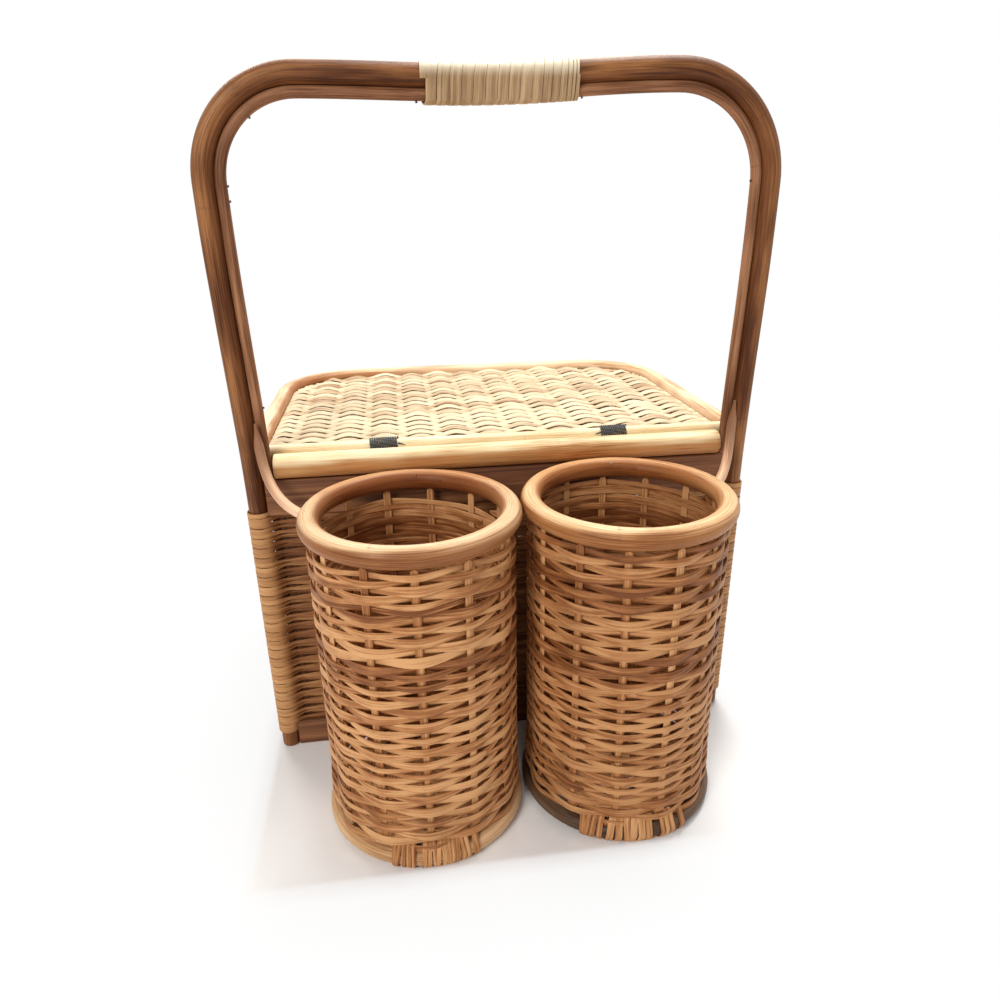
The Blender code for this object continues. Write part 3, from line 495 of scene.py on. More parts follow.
# The pole: painted shade on its inner side and a painted highlight along the top of the handle.
cane_amber = cane_finish(
    "cane_amber", (0.36, 0.155, 0.055), (0.18, 0.068, 0.023), (0.075, 0.021, 0.006), 0.42, 0.9,
    (1 * mm, 19 * mm, (0.6, 0.5, 0.43)), painted_highlight=(425 * mm, 448 * mm, 28.5 * mm, (0.90, 0.74, 0.52)),
)
cane_dark = cane_finish("cane_dark", (0.20, 0.12, 0.07), (0.10, 0.055, 0.03), (0.04, 0.018, 0.01))
cane_rod = cane_finish("cane_rod", (0.40, 0.19, 0.095), (0.21, 0.088, 0.04), (0.09, 0.03, 0.012), 0.5)
cane_pink = cane_finish(
    "cane_pink", (0.87, 0.59, 0.40), (0.66, 0.39, 0.235), (0.36, 0.16, 0.075), 0.5, 0.5, None,
    (5 * mm, 62 * mm, (0.34, 0.235, 0.175)),
)
# Painted shade on the lower side of the hinge rail and of the box's hoop.
cane_peach = cane_finish(
    "cane_peach", (0.74, 0.44, 0.22), (0.45, 0.20, 0.076), (0.17, 0.054, 0.018), 0.42, 0.9,
    (1 * mm, 21 * mm, (0.42, 0.29, 0.20)),
)
# The two rims: painted shade on all but a band along the top, and more painted shade at the back.
cane_rim = cane_finish(
    "cane_rim", (0.84, 0.62, 0.39), (0.68, 0.435, 0.24), (0.38, 0.185, 0.08), 0.42, 0.9,
    (34 * mm, 24.5 * mm, (0.44, 0.27, 0.17)), rear=(-132 * mm, -84 * mm, (0.74, 0.56, 0.42)),
)
# The same painted shade for the right rim.
cane_gold = cane_finish(
    "cane_gold", (0.86, 0.63, 0.37), (0.66, 0.40, 0.20), (0.32, 0.14, 0.055), 0.42, 0.9,
    (34 * mm, 24.5 * mm, (0.55, 0.37, 0.245)), rear=(-132 * mm, -84 * mm, (0.80, 0.64, 0.50)),
)
cane_straw = cane_finish("cane_straw", (0.80, 0.56, 0.33), (0.60, 0.35, 0.17), (0.34, 0.15, 0.055), 0.40, 0.3)
# Painted shade on the inner side of the lid's frame, towards the weave, weaker along the right.
cane_frame = cane_finish(
    "cane_frame", (0.90, 0.70, 0.47), (0.74, 0.50, 0.30), (0.46, 0.24, 0.11), 0.40, 0.4,
    (-4 * mm, 17 * mm, (0.50, 0.31, 0.19), 260 * mm),
)
cane_cream = cane_finish("cane_cream", (0.88, 0.78, 0.54), (0.80, 0.65, 0.40), (0.60, 0.40, 0.20), 0.40, 0.3)
# Painted shade on the lower side of the front rail.
cane_pale = cane_finish(
    "cane_pale", (0.88, 0.76, 0.50), (0.76, 0.56, 0.31), (0.46, 0.24, 0.09), 0.38, 0.4,
    (-5 * mm, 17 * mm, (0.66, 0.41, 0.25)),
)
print("eleven tones of cane")

# %% [markdown]
# ## Flat reed, slat, cord and nail
#
# A reed is split from the core, so it is matt, paler and more open than the cane. Each
# length has its own tone, because a weaver works with what comes to hand. The slow waves
# along its run do that: neighbouring rows lie a whole turn apart in the run.
#
# The reeds round the posts are paler than the rest of the box, dust and painted shade darken
# the low parts between the reeds of the lid, and a painted highlight makes the grip pale on top
# like the pole beneath it.

# %% Reed and slat finishes
def reed_finish(name, pale, body, dark, contrast=1.0, gloss=0.1, dust_and_shade_height=None, corners=None, painted_highlight=None):
    """Colour = ramp of slow tone per length and fine fibres, with short dark flecks.

    Below the given height the reed darkens with dust and with painted shade, in the low parts
    between the humps. In front, further from the middle than corners says, its tone brightens
    the reed, and a painted highlight turns the reed to its tone between two heights.
    """
    finish = Finish(name, Coat_Weight=gloss, Coat_Roughness=0.35, Specular_IOR_Level=0.2)
    length = finish.noise(2.6, 8, 1, 0.5, 5.5)
    fibre = finish.noise(24, 1500, 3, 0.65)
    band = finish.noise(9, 640, 1, 0.5, 6.6)
    patch = finish.noise(60, 160, 2, 0.5, 2.2)
    slow = (length - 0.5) * (0.9 * contrast)
    mixed = 0.5 + slow + (fibre - 0.5) * 0.6 + (patch - 0.5) * (0.4 * contrast)
    colour = finish.ramp(mixed + (band - 0.5) * 0.5, [(0.3, dark), (0.5, body), (0.68, pale)])
    fleck = finish.band(finish.noise(170, 3000, 2, 0.5, 9.1), 0.66, 0.78)
    grime = finish.band(finish.clouds(20, 4, (3, 1, 2)), 0.55, 0.75)
    colour = finish.blend(fleck * 0.45 + grime * 0.2, colour, tuple(value * 0.35 for value in dark))
    # Painted highlight: the top of the piece turns pale between two heights.
    if painted_highlight:
        low, high, highlight_colour = painted_highlight
        colour = finish.blend(finish.band(finish.axis(2), low, high) * 0.8, colour, highlight_colour)
    if corners:
        reach, tone = corners
        x = finish.axis(0)
        in_front = finish.band(finish.axis(1), -46 * mm, -36 * mm, 1, 0)
        paler_near_posts = finish.band(x.math("ABSOLUTE", x), reach - 3 * mm, reach + 3 * mm) * in_front
        colour = finish.blend(paler_near_posts * 0.8, colour, tone, "SCREEN")
    # Dust, and painted shade in the low parts between the humps, darken the reed below that height.
    if dust_and_shade_height:
        height = finish.axis(2) + (patch - 0.5) * (1.2 * mm)
        dust_and_shade = finish.band(height, dust_and_shade_height - 0.9 * mm, dust_and_shade_height + 0.7 * mm, 0.85, 0)
        colour = finish.blend(dust_and_shade, colour, tuple(value * 0.5 for value in dark))
    rough = 0.52 + fibre * 0.2 - length * 0.08
    return finish.wear(colour, rough, fibre * 0.6 + patch * 0.25, 0.2 * mm)


def slat_finish(name, pale, body, dark):
    """Sawn slat: close straight grain, a few wider bands, dull surface."""
    finish = Finish(name, Specular_IOR_Level=0.35)
    fibre = finish.noise(16, 1300, 4, 0.6)
    band = finish.noise(3.5, 230, 2, 0.5, 4.4)
    colour = finish.ramp(fibre * 0.5 + band * 0.5, [(0.34, dark), (0.5, body), (0.66, pale)])
    pores = finish.band(finish.noise(70, 2400, 2, 0.5, 8.8), 0.62, 0.72)
    colour = finish.blend(pores * 0.5, colour, tuple(value * 0.4 for value in dark))
    return finish.wear(colour, 0.55 + fibre * 0.2, fibre - pores * 0.5, 0.25 * mm)


weave_tan = reed_finish(
    "weave_tan", (0.64, 0.34, 0.148), (0.40, 0.165, 0.056), (0.175, 0.054, 0.014), 1.1, 0.05,
)
weave_russet = reed_finish(
    "weave_russet", (0.54, 0.27, 0.111), (0.335, 0.131, 0.042), (0.145, 0.043, 0.010), 1.1, 0.05,
)
# Painted shade: a near-black reed for the stakes seen through the gaps beside the front posts.
painted_shade_reed = reed_finish(
    "painted_shade_reed", (0.14, 0.055, 0.02), (0.075, 0.026, 0.009), (0.04, 0.013, 0.004), 0.6, 0,
)
weave_brown = reed_finish(
    "weave_brown", (0.42, 0.205, 0.078), (0.25, 0.10, 0.033), (0.12, 0.04, 0.012), 0.75, 0.05,
    corners=(159 * mm, (0.36, 0.18, 0.075)),
)
# The lid's reeds: dust and painted shade in the dips between the humps.
weave_cream = reed_finish(
    "weave_cream", (0.70, 0.59, 0.40), (0.59, 0.455, 0.285), (0.34, 0.19, 0.095), 0.8, 0.1, 226.0 * mm,
)
# The grip: a painted highlight makes its top pale.
strip_beige = reed_finish(
    "strip_beige", (0.51, 0.345, 0.19), (0.34, 0.21, 0.105), (0.19, 0.092, 0.038), 0.6, 0.25,
    painted_highlight=(443 * mm, 452 * mm, (0.93, 0.84, 0.63)),
)
slat_brown = slat_finish("slat_brown", (0.32, 0.14, 0.058), (0.18, 0.068, 0.026), (0.07, 0.022, 0.009))
print("reed and slat")


# %% Cord and nail finishes
def cord_finish(name):
    """Two-ply waxed cord: slanting ridges from a sine of run and girth together, with fluff."""
    finish = Finish(name, Sheen_Weight=0.08, Sheen_Roughness=0.5)
    turn = finish.run * 2600 + finish.girth * 1300
    ply = turn.math("SINE", turn) * 0.5 + 0.5
    fluff = finish.noise(900, 900, 3)
    # Painted highlight on the ridges of the plies and painted shade in the grooves between them.
    stops = [(0.3, (0.006, 0.0055, 0.006)), (0.9, (0.09, 0.085, 0.085))]
    colour = finish.ramp(ply * 0.7 + fluff * 0.3, stops)
    return finish.wear(colour, 0.5 + fluff * 0.3, ply + fluff * 0.3, 0.2 * mm, 0.6)


def nail_finish(name):
    """Dull steel with rust in clouds."""
    finish = Finish(name, Metallic=0.85)
    rust = finish.band(finish.clouds(420, 3), 0.45, 0.62)
    colour = finish.blend(rust, (0.16, 0.145, 0.13), (0.09, 0.04, 0.02))
    return finish.wear(colour, 0.38 + rust * 0.35, rust, 0.1 * mm)


cord_black = cord_finish("cord_black")
nail_steel = nail_finish("nail_steel")
print("cord and nail")

# %% [markdown]
# ## Where the pieces stand
#
# The sizes below repeat the solids' own: half spreads, heights and radii, in millimetres.
# Straight canes are simpler. Their solid's box gives both the line and the radius.

# %% Sizes
FIT = 0.3 * mm
LEG_RADIUS = 6.4 * mm
LEG_FOOT = 165.4 * mm
LEG_SHOULDER = 169.8 * mm
LEG_Y = -56.05 * mm
SPLAY = (190 * mm, 380 * mm)
SHOULDERS = {-1: (446.2 * mm, 56 * mm), 1: (450.1 * mm, 62 * mm)}
HANDLE_SAG = 3.0 * mm
INNER_ROD_RADIUS = 3.4 * mm
ROD_START = 190.3 * mm
ROD_SPACING = 10.1 * mm
HOLDER_X = 65.75 * mm
HOLDER_Y = -126.15 * mm
RAIL_HEIGHT = 220.3 * mm
WALL_BOTTOM = 20.3 * mm
WALL_TOP = 186.7 * mm
CORNER_RADIUS = 65.4 * mm
BACK_Y = 185.65 * mm
LID_HEIGHT = 226.4 * mm
HINGE_Y = -41.7 * mm
UP = np.array([0.0, 0.0, 1.0])
BACK = np.array([0.0, 1.0, 0.0])
FRONT = -BACK
SIDES = ((-1, "left"), (1, "right"))
UNEVEN = 0.012


def cane(
    name, path, radius, finish, node, outward=UP, body="box", seed=0, spacing=3 * mm, sides=20, taper=0,
):
    """A round cane: radius * (1 - u + u sway) round the path, with a taper thinning its start."""
    points, run, narrow = spaced(path, spacing)
    radii = radius * narrow * (1 - UNEVEN + UNEVEN * sway(run, 23 * mm, seed))
    if taper:
        radii = radii * (0.3 + 0.7 * ease(run / taper))
    section = round_section(1, sides) * radii[:, None, None]
    piece(name, [carry(points, section, outward)], finish, [node], body)


def straight(node):
    """The middle line from left to right and the radius of a cane that lies along X."""
    low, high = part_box(node)
    y, z = (low.y + high.y) / 2, (low.z + high.z) / 2
    return np.array([(low.x, y, z), (high.x, y, z)]), (high.z - low.z) / 2


print("handle top at", round((SHOULDERS[1][0] + LEG_RADIUS) / mm, 1), "mm")

# %% [markdown]
# ## The handle
#
# One thick cane is steamed and bent twice. Its legs stand upright past the box, lean
# outwards above it, and the two shoulders are not quite alike because the bends are made by
# eye. A thinner cane lies along its inside and is nailed to it.
#
# The path is a function of one number, so both canes come from it: the thin one is the
# same line moved inwards along its normal.

# %% Pole and inner rod
def leg_spread(height):
    """Half spread of the legs: foot width below, eased out to shoulder width above."""
    return LEG_FOOT + (LEG_SHOULDER - LEG_FOOT) * ease((height - SPLAY[0]) / (SPLAY[1] - SPLAY[0]))


def top_height(x):
    """Height of the top cane's middle: eased from one shoulder to the other, less a slight sag."""
    start = SHOULDERS[-1][1] - LEG_SHOULDER
    share = (x - start) / (LEG_SHOULDER - SHOULDERS[1][1] - start)
    rise = SHOULDERS[1][0] - SHOULDERS[-1][0]
    return SHOULDERS[-1][0] + rise * ease(share) - HANDLE_SAG * (1 - np.cos(2 * math.pi * share)) / 2


def handle_path(bottom, inset, count=70):
    """Up the left leg, round a quarter turn, along the top and down again, moved inwards by inset."""
    halves = []
    for side in (-1, 1):
        height, radius = SHOULDERS[side]
        leg = np.linspace(bottom, height - radius, count, endpoint=False)
        turn = np.linspace(0, math.pi / 2, 30, endpoint=False)
        flat = LEG_SHOULDER - radius
        along = np.linspace(flat, 0, count // 2)
        x = np.concatenate((leg_spread(leg), flat + radius * np.cos(turn), along))
        z = np.concatenate((leg, height - radius + radius * np.sin(turn), top_height(side * along)))
        halves.append(np.stack((side * x, np.full_like(x, LEG_Y), z), -1))
    path = np.concatenate((halves[0], halves[1][-2::-1]))
    along = unit(np.gradient(path, axis=0))
    inwards = np.stack((along[:, 2], np.zeros(len(path)), -along[:, 0]), -1)
    return path + inwards * inset


pole = handle_path(0, 0)
cane("pole", pole, LEG_RADIUS, cane_amber, "handle_pole", FRONT, seed=1, sides=28)
rod = handle_path(ROD_START, ROD_SPACING - FIT - 0.3 * mm)
cane("inner_rod", rod, INNER_ROD_RADIUS, cane_rod, "handle_inner_rod", FRONT, seed=2)

# %% [markdown]
# ## The grip
#
# Seventeen turns of flat cane skin are wound round both canes where the hand holds them.
# The winding starts wide and ends crowded, so the turns' edges are given one by one. The
# section across both canes is a belt round two circles, and the strip runs round that belt
# while it moves along.

# %% Grip
GRIP_SEAMS = np.array([
    -45.6, -39.4, -32.8, -25.4, -19.2, -12.0, -5.2, 1.6, 7.4,
    15.0, 21.2, 26.8, 31.8, 36.6, 39.9, 42.2, 44.0, 45.6,
]) * mm
GRIP_THICKNESS = 1.0 * mm
GRIP_LIFT = 0.85 * mm


def belt(upper, lower, drop, turn):
    """Line round two circles, the lower one drop below: turn 0 to 1 once round, with its outward side."""
    lean = math.asin((upper - lower) / drop)
    share = turn % 1
    half = (math.pi + 2 * lean) / (2 * math.pi)
    over = share < half
    over_angle = -lean + (math.pi + 2 * lean) * share / half
    under_angle = math.pi + lean + (math.pi - 2 * lean) * (share - half) / (1 - half)
    angle = np.where(over, over_angle, under_angle)
    radius = np.where(over, upper, lower)
    outward = around(angle, 1)[:, :2]
    return outward * radius[:, None] + np.where(over, 0, -drop)[:, None] * np.array([0, 1]), outward


def grip():
    """Place (run, LEG_Y - u, top height + v): run follows the seams, (u, v) follows the belt."""
    turns = len(GRIP_SEAMS) - 1
    turn = np.linspace(0, turns, turns * 26 + 1)
    middles = (GRIP_SEAMS[1:] + GRIP_SEAMS[:-1]) / 2
    run = np.interp(turn, np.arange(turns) + 0.5, middles)
    width = np.interp(turn, np.arange(turns) + 0.5, np.diff(GRIP_SEAMS)) - 0.28 * mm
    offset, outward = belt(LEG_RADIUS + GRIP_LIFT, INNER_ROD_RADIUS + GRIP_LIFT, ROD_SPACING, turn)
    path = np.stack((run, LEG_Y - offset[:, 0], top_height(run) + offset[:, 1]), -1)
    away = np.stack((np.zeros(len(turn)), -outward[:, 0], outward[:, 1]), -1)
    return flat_reed(path, width, GRIP_THICKNESS, away)


piece("grip", [grip()], strip_beige, ["grip_wrap"])

# %% [markdown]
# ## Braces
#
# From each leg a thin cane springs forwards and down to the rim of the nearer holder. It
# starts in the groove between leg and inner rod, and its free run is one smooth bend: a
# cubic curve that leaves along the leg and arrives along the rim.

# %% Braces
BRACE_RADIUS = 3.2 * mm
BRACE_HEIGHTS = RAIL_HEIGHT + np.array([30.9, 25.3, 19.7]) * mm
BRACE_START_PULL, BRACE_END_PULL = 25 * mm, 30 * mm
RIM_HEIGHT = 204.2 * mm
RIM_REACH = 65.6 * mm + 2 * FIT
MEETING, ARRIVAL = math.radians(18), math.radians(47)


def brace_path(side):
    """Groove line on the leg, then the curve s (1-t)^3 + 3 p (1-t)^2 t + 3 q (1-t) t^2 + e t^3."""
    to_leg, to_rod = LEG_RADIUS + FIT + BRACE_RADIUS, INNER_ROD_RADIUS + FIT + BRACE_RADIUS
    inwards = (to_leg ** 2 - to_rod ** 2 + ROD_SPACING ** 2) / (2 * ROD_SPACING)
    forwards = math.sqrt(to_leg ** 2 - inwards ** 2)
    x = side * (leg_spread(BRACE_HEIGHTS) - inwards)
    groove = np.stack((x, np.full(3, LEG_Y - forwards), BRACE_HEIGHTS), -1)
    start = groove[-1]
    sideways = np.array([side, 1, 1])
    end = np.array([side * HOLDER_X, HOLDER_Y, RIM_HEIGHT]) + around(MEETING, RIM_REACH) * sideways
    leave = start + unit(groove[-1] - groove[0]) * BRACE_START_PULL
    arrive = end + around(ARRIVAL, BRACE_END_PULL) * sideways
    t = np.linspace(0, 1, 40)[1:, None]
    bend = start * (1 - t) ** 3 + 3 * leave * (1 - t) ** 2 * t + 3 * arrive * (1 - t) * t ** 2 + end * t ** 3
    return np.concatenate((groove, bend))


for side, label in SIDES:
    cane(
        f"brace_{label}", brace_path(side), BRACE_RADIUS, cane_pink, f"brace_rod_{label}",
        FRONT, seed=3 + side, spacing=1.6 * mm, taper=17 * mm,
    )

# %% [markdown]
# ## Nails
#
# Nine small nails show. Each solid already says where its nail goes, because the two
# corners of it that lie furthest apart are the middle of its head and its tip. A finer one
# takes its place: a domed head on a thin shank, turned about that line.

# %% Nails
NAIL_HEAD = 1.8 * mm
NAIL_DEPTH = 0.45 * mm
NAIL_PROFILE = np.array([
    (0.04, -0.26), (0.35, -0.24), (0.62, -0.16), (0.74, -0.04), (0.74, 0.06), (0.6, 0.1), (0.6, 2.0),
]) * mm


def nail(node):
    """Profile (radius, depth) turned about the line from the head's middle to the tip."""
    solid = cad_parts[node].data
    points = np.empty(len(solid.vertices) * 3, np.float32)
    solid.vertices.foreach_get("co", points)
    points = points.reshape(-1, 3).astype(float)
    apart = np.linalg.norm(points[:, None] - points[None], axis=-1)
    one, other = np.unravel_index(apart.argmax(), apart.shape)
    crowd = np.sum(apart[[one, other]] < NAIL_HEAD, axis=1)
    head, tip = points[[one, other] if crowd[0] > crowd[1] else [other, one]]
    along = unit(tip - head)
    tall = np.linalg.norm(tip - head)
    depth = np.append(NAIL_PROFILE[:, 1] + NAIL_DEPTH, [tall - 0.6 * mm, tall - 0.05 * mm])
    radius = np.append(NAIL_PROFILE[:, 0], [0.6 * mm, 0.06 * mm])
    turn = full_turn(16)
    side = unit(np.cross(along, [0.3, 0.5, 0.8]))
    lift = np.cross(side, along)
    ring = np.cos(turn)[:, None] * side + np.sin(turn)[:, None] * lift
    grid = head + along * depth[:, None, None] + radius[:, None, None] * ring
    name = node.replace("handle_nail", "pole_pin").replace("rim_nail", "rim_pin")
    piece(name, [grid], nail_steel, [node])


for number in range(1, 8):
    nail(f"handle_nail_{number}")
for side, label in SIDES:
    nail(f"rim_nail_{label}")

# %% [markdown]
# ## Stakes of the bottle holders
#
# Thirteen flat stakes start at the middle of the bottom, run outwards and turn up into the
# wall. Towards the middle each narrows to a wedge, so all thirteen fit side by side. Their
# tips are rounded and end just under the rim. One stake is worked out in its own plane, and
# a single array product turns it to all thirteen places.

# %% Holder stakes
STAKES = 13
STAKE_RADIUS = 59.5 * mm
STAKE_WIDTH = 4.6 * mm
FRONT_STAKE = {"left": math.radians(-90), "right": math.radians(-105.5)}
TOP_OF_STAKE = 203.1 * mm
BOTTOM_HEIGHT = 15.6 * mm
BEND = 5 * mm
STAKE_TIP = 2.3 * mm
STAKE_THICKNESS = 1.25 * mm
STAKE_LEAN = 0.012
FLARE = 1.2 * mm
FLARE_START, FLARE_HEIGHT = 22 * mm, 26 * mm


def flare(z):
    """The wall's foot opens by the flare: full below its start, eased to nothing above it."""
    return FLARE * (1 - ease((z - FLARE_START) / FLARE_HEIGHT))


def holder_stakes(centre, first):
    """In its plane a stake runs (r, z): outwards on the bottom, a quarter turn, then upwards."""
    turn = np.linspace(-math.pi / 2, 0, 8)
    low, flat = BOTTOM_HEIGHT + BEND, STAKE_RADIUS - BEND
    rise = np.linspace(low, TOP_OF_STAKE - STAKE_TIP, 40)[1:]
    rise = np.append(rise, TOP_OF_STAKE - np.array([1.2, 0.4, 0]) * mm)
    floor = np.linspace(1.6 * mm, flat, 14)[:-1]
    r = np.concatenate((floor, flat + BEND * np.cos(turn), np.full(len(rise), STAKE_RADIUS)))
    z = np.concatenate((np.full(13, BOTTOM_HEIGHT), low + BEND * np.sin(turn), rise))
    r[13:] += flare(z[13:])
    width = np.minimum(STAKE_WIDTH, 2 * r * math.tan(math.pi / STAKES) - 0.25 * mm)
    near_tip = np.clip((z - TOP_OF_STAKE + STAKE_TIP) / (STAKE_TIP + 0.02 * mm), 0, 1)
    width *= np.sqrt(1 - near_tip ** 2)
    path = np.stack((r, np.zeros_like(r), z), -1)
    away = np.cross(BACK, np.gradient(path, axis=0))
    x, y, height = np.moveaxis(flat_reed(path, width, STAKE_THICKNESS, away), -1, 0)
    number = np.arange(STAKES)[:, None, None]
    share = (height - BOTTOM_HEIGHT) / (TOP_OF_STAKE - BOTTOM_HEIGHT)
    angle = first + 2 * math.pi * number / STAKES + STAKE_LEAN * np.sin(2.4 * number + first) * share
    return list(around(angle, x, height) + around(angle + math.pi / 2, y) + centre)


CENTRES = {label: np.array([side * HOLDER_X, HOLDER_Y, 0]) for side, label in SIDES}
for label, centre in CENTRES.items():
    grids = holder_stakes(centre, FRONT_STAKE[label])
    piece(f"{label}_holder_stakes", grids, weave_tan, [f"holder_stakes_{label}"])

# %% [markdown]
# ## Weaving a bottle holder
#
# One flat reed climbs the wall as a spiral. It passes outside one stake and inside the
# next, and because thirteen is odd, the turn above does the opposite by itself. So the
# distance from the axis is a wave with thirteen half lengths in a turn.
#
# The reeds are of mixed width, some split into a thin pair, and each gives out after two
# turns or so. The next one starts inside the wall, tucked behind the end of the last.

# %% Holder weave
WEAVE_BOTTOM = 12.5 * mm
WEAVE_TOP = 198.6 * mm
REED_THICKNESS = 0.95 * mm
BOX_THICKNESS = 0.85 * mm
SWING = 1.65 * mm
REED_GAP = 0.2 * mm
SAG = 0.4 * mm
FRONT_SAG, FRONT_SAG_START, FRONT_SAG_HEIGHT = 1.1 * mm, 90 * mm, 105 * mm
BULGE = 0.3
BOTTOM_TURNS = 11
BOTTOM_START = 5.5 * mm
BOTTOM_PITCH = 4.65 * mm
SAMPLES = STAKES * 8
LEFT_REEDS = (
    (1.45, 4.6, 1), (2.2, 4.4, 1), (1.75, 2.9, 1), (2.3, 4.7, 1), (1.6, 3.8, 1), (2.35, 4.2, 1),
    (1.9, 3.0, 1), (2.0, 4.8, 1), (1.5, 3.9, 1), (2.25, 3.4, 1), (1.95, 4.8, 1), (2.4, 4.7, 1),
    (1.6, 3.1, 1), (2.1, 3.0, 1), (1.7, 3.1, 1), (1.9, 5.0, 1), (2.2, 2.7, 2), (1.6, 3.1, 1),
    (2.0, 3.1, 2), (2.2, 4.8, 1), (1.9, 3.2, 1),
)
RIGHT_REEDS = (
    (1.7, 3.4, 1), (2.1, 4.5, 1), (1.6, 3.8, 1), (2.2, 3.0, 1), (1.9, 4.7, 1), (2.4, 3.6, 1), (1.5, 3.1, 1),
    (2.0, 4.3, 1), (2.3, 3.0, 1), (1.75, 4.0, 1), (2.1, 3.3, 1), (1.9, 4.6, 1), (2.2, 2.6, 2), (1.55, 4.2, 1),
    (2.1, 4.8, 1), (1.8, 3.7, 1), (2.0, 2.5, 2), (2.35, 4.4, 1), (1.7, 4.7, 1), (2.1, 2.7, 2), (1.6, 3.4, 1),
)
WEAVES = {"left": (LEFT_REEDS, 100, weave_tan), "right": (RIGHT_REEDS, 500, weave_russet)}


def weave_radius(turn):
    """Wave with thirteen half lengths a turn, a little flattened between the stakes."""
    phase = math.pi * STAKES * turn
    return STAKE_RADIUS + SWING * (np.cos(phase) + 0.06 * np.cos(3 * phase))


def stacked(ends, widths):
    """Height of every row: the row below it, half of both widths and a hair's gap.

    Row 0 lies level and steps up by its own width in its last fifth, at the holder's back. A
    common scale then makes the rows fill the wall.
    """
    turns = int(round(ends[-1]))
    turn = np.arange(turns * SAMPLES + 1) / SAMPLES
    wide = widths[np.minimum(np.searchsorted(ends, turn, side="right") - 1, len(widths) - 1)]
    wide = np.convolve(np.pad(wide, 12, mode="edge"), np.full(25, 1 / 25), mode="valid")
    pitch = wide[:SAMPLES] + REED_GAP
    height = np.empty_like(wide)
    height[:SAMPLES] = wide[:SAMPLES] / 2 + pitch * ease((np.arange(SAMPLES) / SAMPLES - 0.8) / 0.2)
    for row in range(1, turns + 1):
        here = slice(row * SAMPLES, (row + 1) * SAMPLES)
        below = slice((row - 1) * SAMPLES, (row - 1) * SAMPLES + len(wide[here]))
        height[here] = height[below] + (wide[below] + wide[here]) / 2 + REED_GAP
    scale = (WEAVE_TOP - WEAVE_BOTTOM) / (height[-SAMPLES // 2] + wide[-1] / 2)
    return turn, WEAVE_BOTTOM + height * scale, wide * scale


def wall_weave(centre, first, reeds, seed):
    """Each reed: angle, radius and height along the spiral, and in its first stakes tucked inside."""
    ends = np.cumsum([0] + [reed[0] for reed in reeds])
    ends = np.round(ends * STAKES) / STAKES
    turns, heights, widths = stacked(ends, np.array([(reed[1] + 0.3) * reed[2] - 0.3 for reed in reeds]) * mm)
    finish = turns[-1] - 0.2
    grids = []
    for number, (length, width, strands) in enumerate(reeds):
        start, stop = max(ends[number] - 1.4 / STAKES, 0), min(ends[number + 1] + 0.3 / STAKES, finish)
        turn = np.linspace(start, stop, int((stop - start) * SAMPLES) + 2)
        tucked = 1 - ease((turn - ends[number] + 0.2 / STAKES) * STAKES / 0.9)
        if number == 0:
            tucked = np.zeros_like(turn)
        angle = first + 2 * math.pi * turn
        away = around(angle, 1)
        run = turn * 2 * math.pi * STAKE_RADIUS
        crossing = np.cos(math.pi * STAKES * turn)
        room = np.interp(turn, turns, widths)
        for strand in range(strands):
            wide = room if strands == 1 else room / strands - 0.15 * mm
            shift = (strand - (strands - 1) / 2) * room / strands
            radius = weave_radius(turn) - tucked * (REED_THICKNESS + 0.1 * mm)
            wander = 0.26 * mm * sway(run, 31 * mm, seed + 9 * number + strand) - SAG * crossing
            height = np.interp(turn, turns, heights)
            high_up = ease((height - FRONT_SAG_START) / FRONT_SAG_HEIGHT)
            height += FRONT_SAG * (1 - np.sin(angle)) * high_up
            height += shift + wander - tucked * 0.6 * mm
            path = centre + away * (radius + flare(height))[:, None] + UP * height[:, None]
            tilt = 0.10 * sway(run, 47 * mm, seed + 5 * number + 3)
            near_end = np.minimum(run - run[0], run[-1] - run)
            wide = wide * (0.98 + 0.07 * sway(run, 40 * mm, seed + 7 * number))
            wide = wide * (1 + BULGE * np.clip(crossing, 0, 1))
            wide = wide * (0.5 + 0.5 * ease(near_end / (2.5 * mm)))
            grids.append(flat_reed(path, wide, REED_THICKNESS, away + tilt[:, None] * UP))
    return grids


def bottom_weave(centre, first):
    """The same spiral laid flat: the radius grows by one reed a turn and the height waves."""
    turn = np.linspace(0, BOTTOM_TURNS, BOTTOM_TURNS * SAMPLES)
    radius = BOTTOM_START + turn * BOTTOM_PITCH
    height = BOTTOM_HEIGHT + 1.1 * mm * np.cos(math.pi * STAKES * turn)
    path = around(first + 2 * math.pi * turn, radius, height) + centre
    return [flat_reed(path, BOTTOM_PITCH - REED_GAP, BOX_THICKNESS, UP)]


for label, centre in CENTRES.items():
    reeds, seed, tone = WEAVES[label]
    first = FRONT_STAKE[label] + 7 * 2 * math.pi / STAKES
    grids = wall_weave(centre, first, reeds, seed) + bottom_weave(centre, first)
    piece(f"{label}_holder_weave", grids, tone, [f"holder_weave_{label}"])

# %% [markdown]
# ## Rims, base rings and their bindings
#
# A thick cane closes the top of each holder and a thinner one carries its bottom. Both are
# rings: the same round section carried along a circle that closes on itself. At the front
# the base ring is bound to the lowest row of the weave with flat cane, in a few bunches of
# turns with gaps between them.

# %% Rims and base rings
RING_TONES = {"left": (cane_rim, cane_straw), "right": (cane_gold, cane_dark)}


def ring(name, node, centre, sides, finish, slot, seed):
    """A circle of ring radius, with the rod's radius swaying by one part in a hundred."""
    low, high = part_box(node)
    rod = (high.z - low.z) / 2
    ring_radius = (high.x - low.x) / 2 - rod
    turn = full_turn(180, math.radians(66))
    path = around(turn, ring_radius, (low.z + high.z) / 2) + centre
    uneven = 0.985 + 0.012 * np.sin(3 * turn + seed) + 0.006 * np.sin(7 * turn + 2 * seed)
    section = round_section(rod, sides, math.pi) * uneven[:, None, None]
    piece(name, [carry(path, section, UP, closed=True)], finish, [node], closed=True)


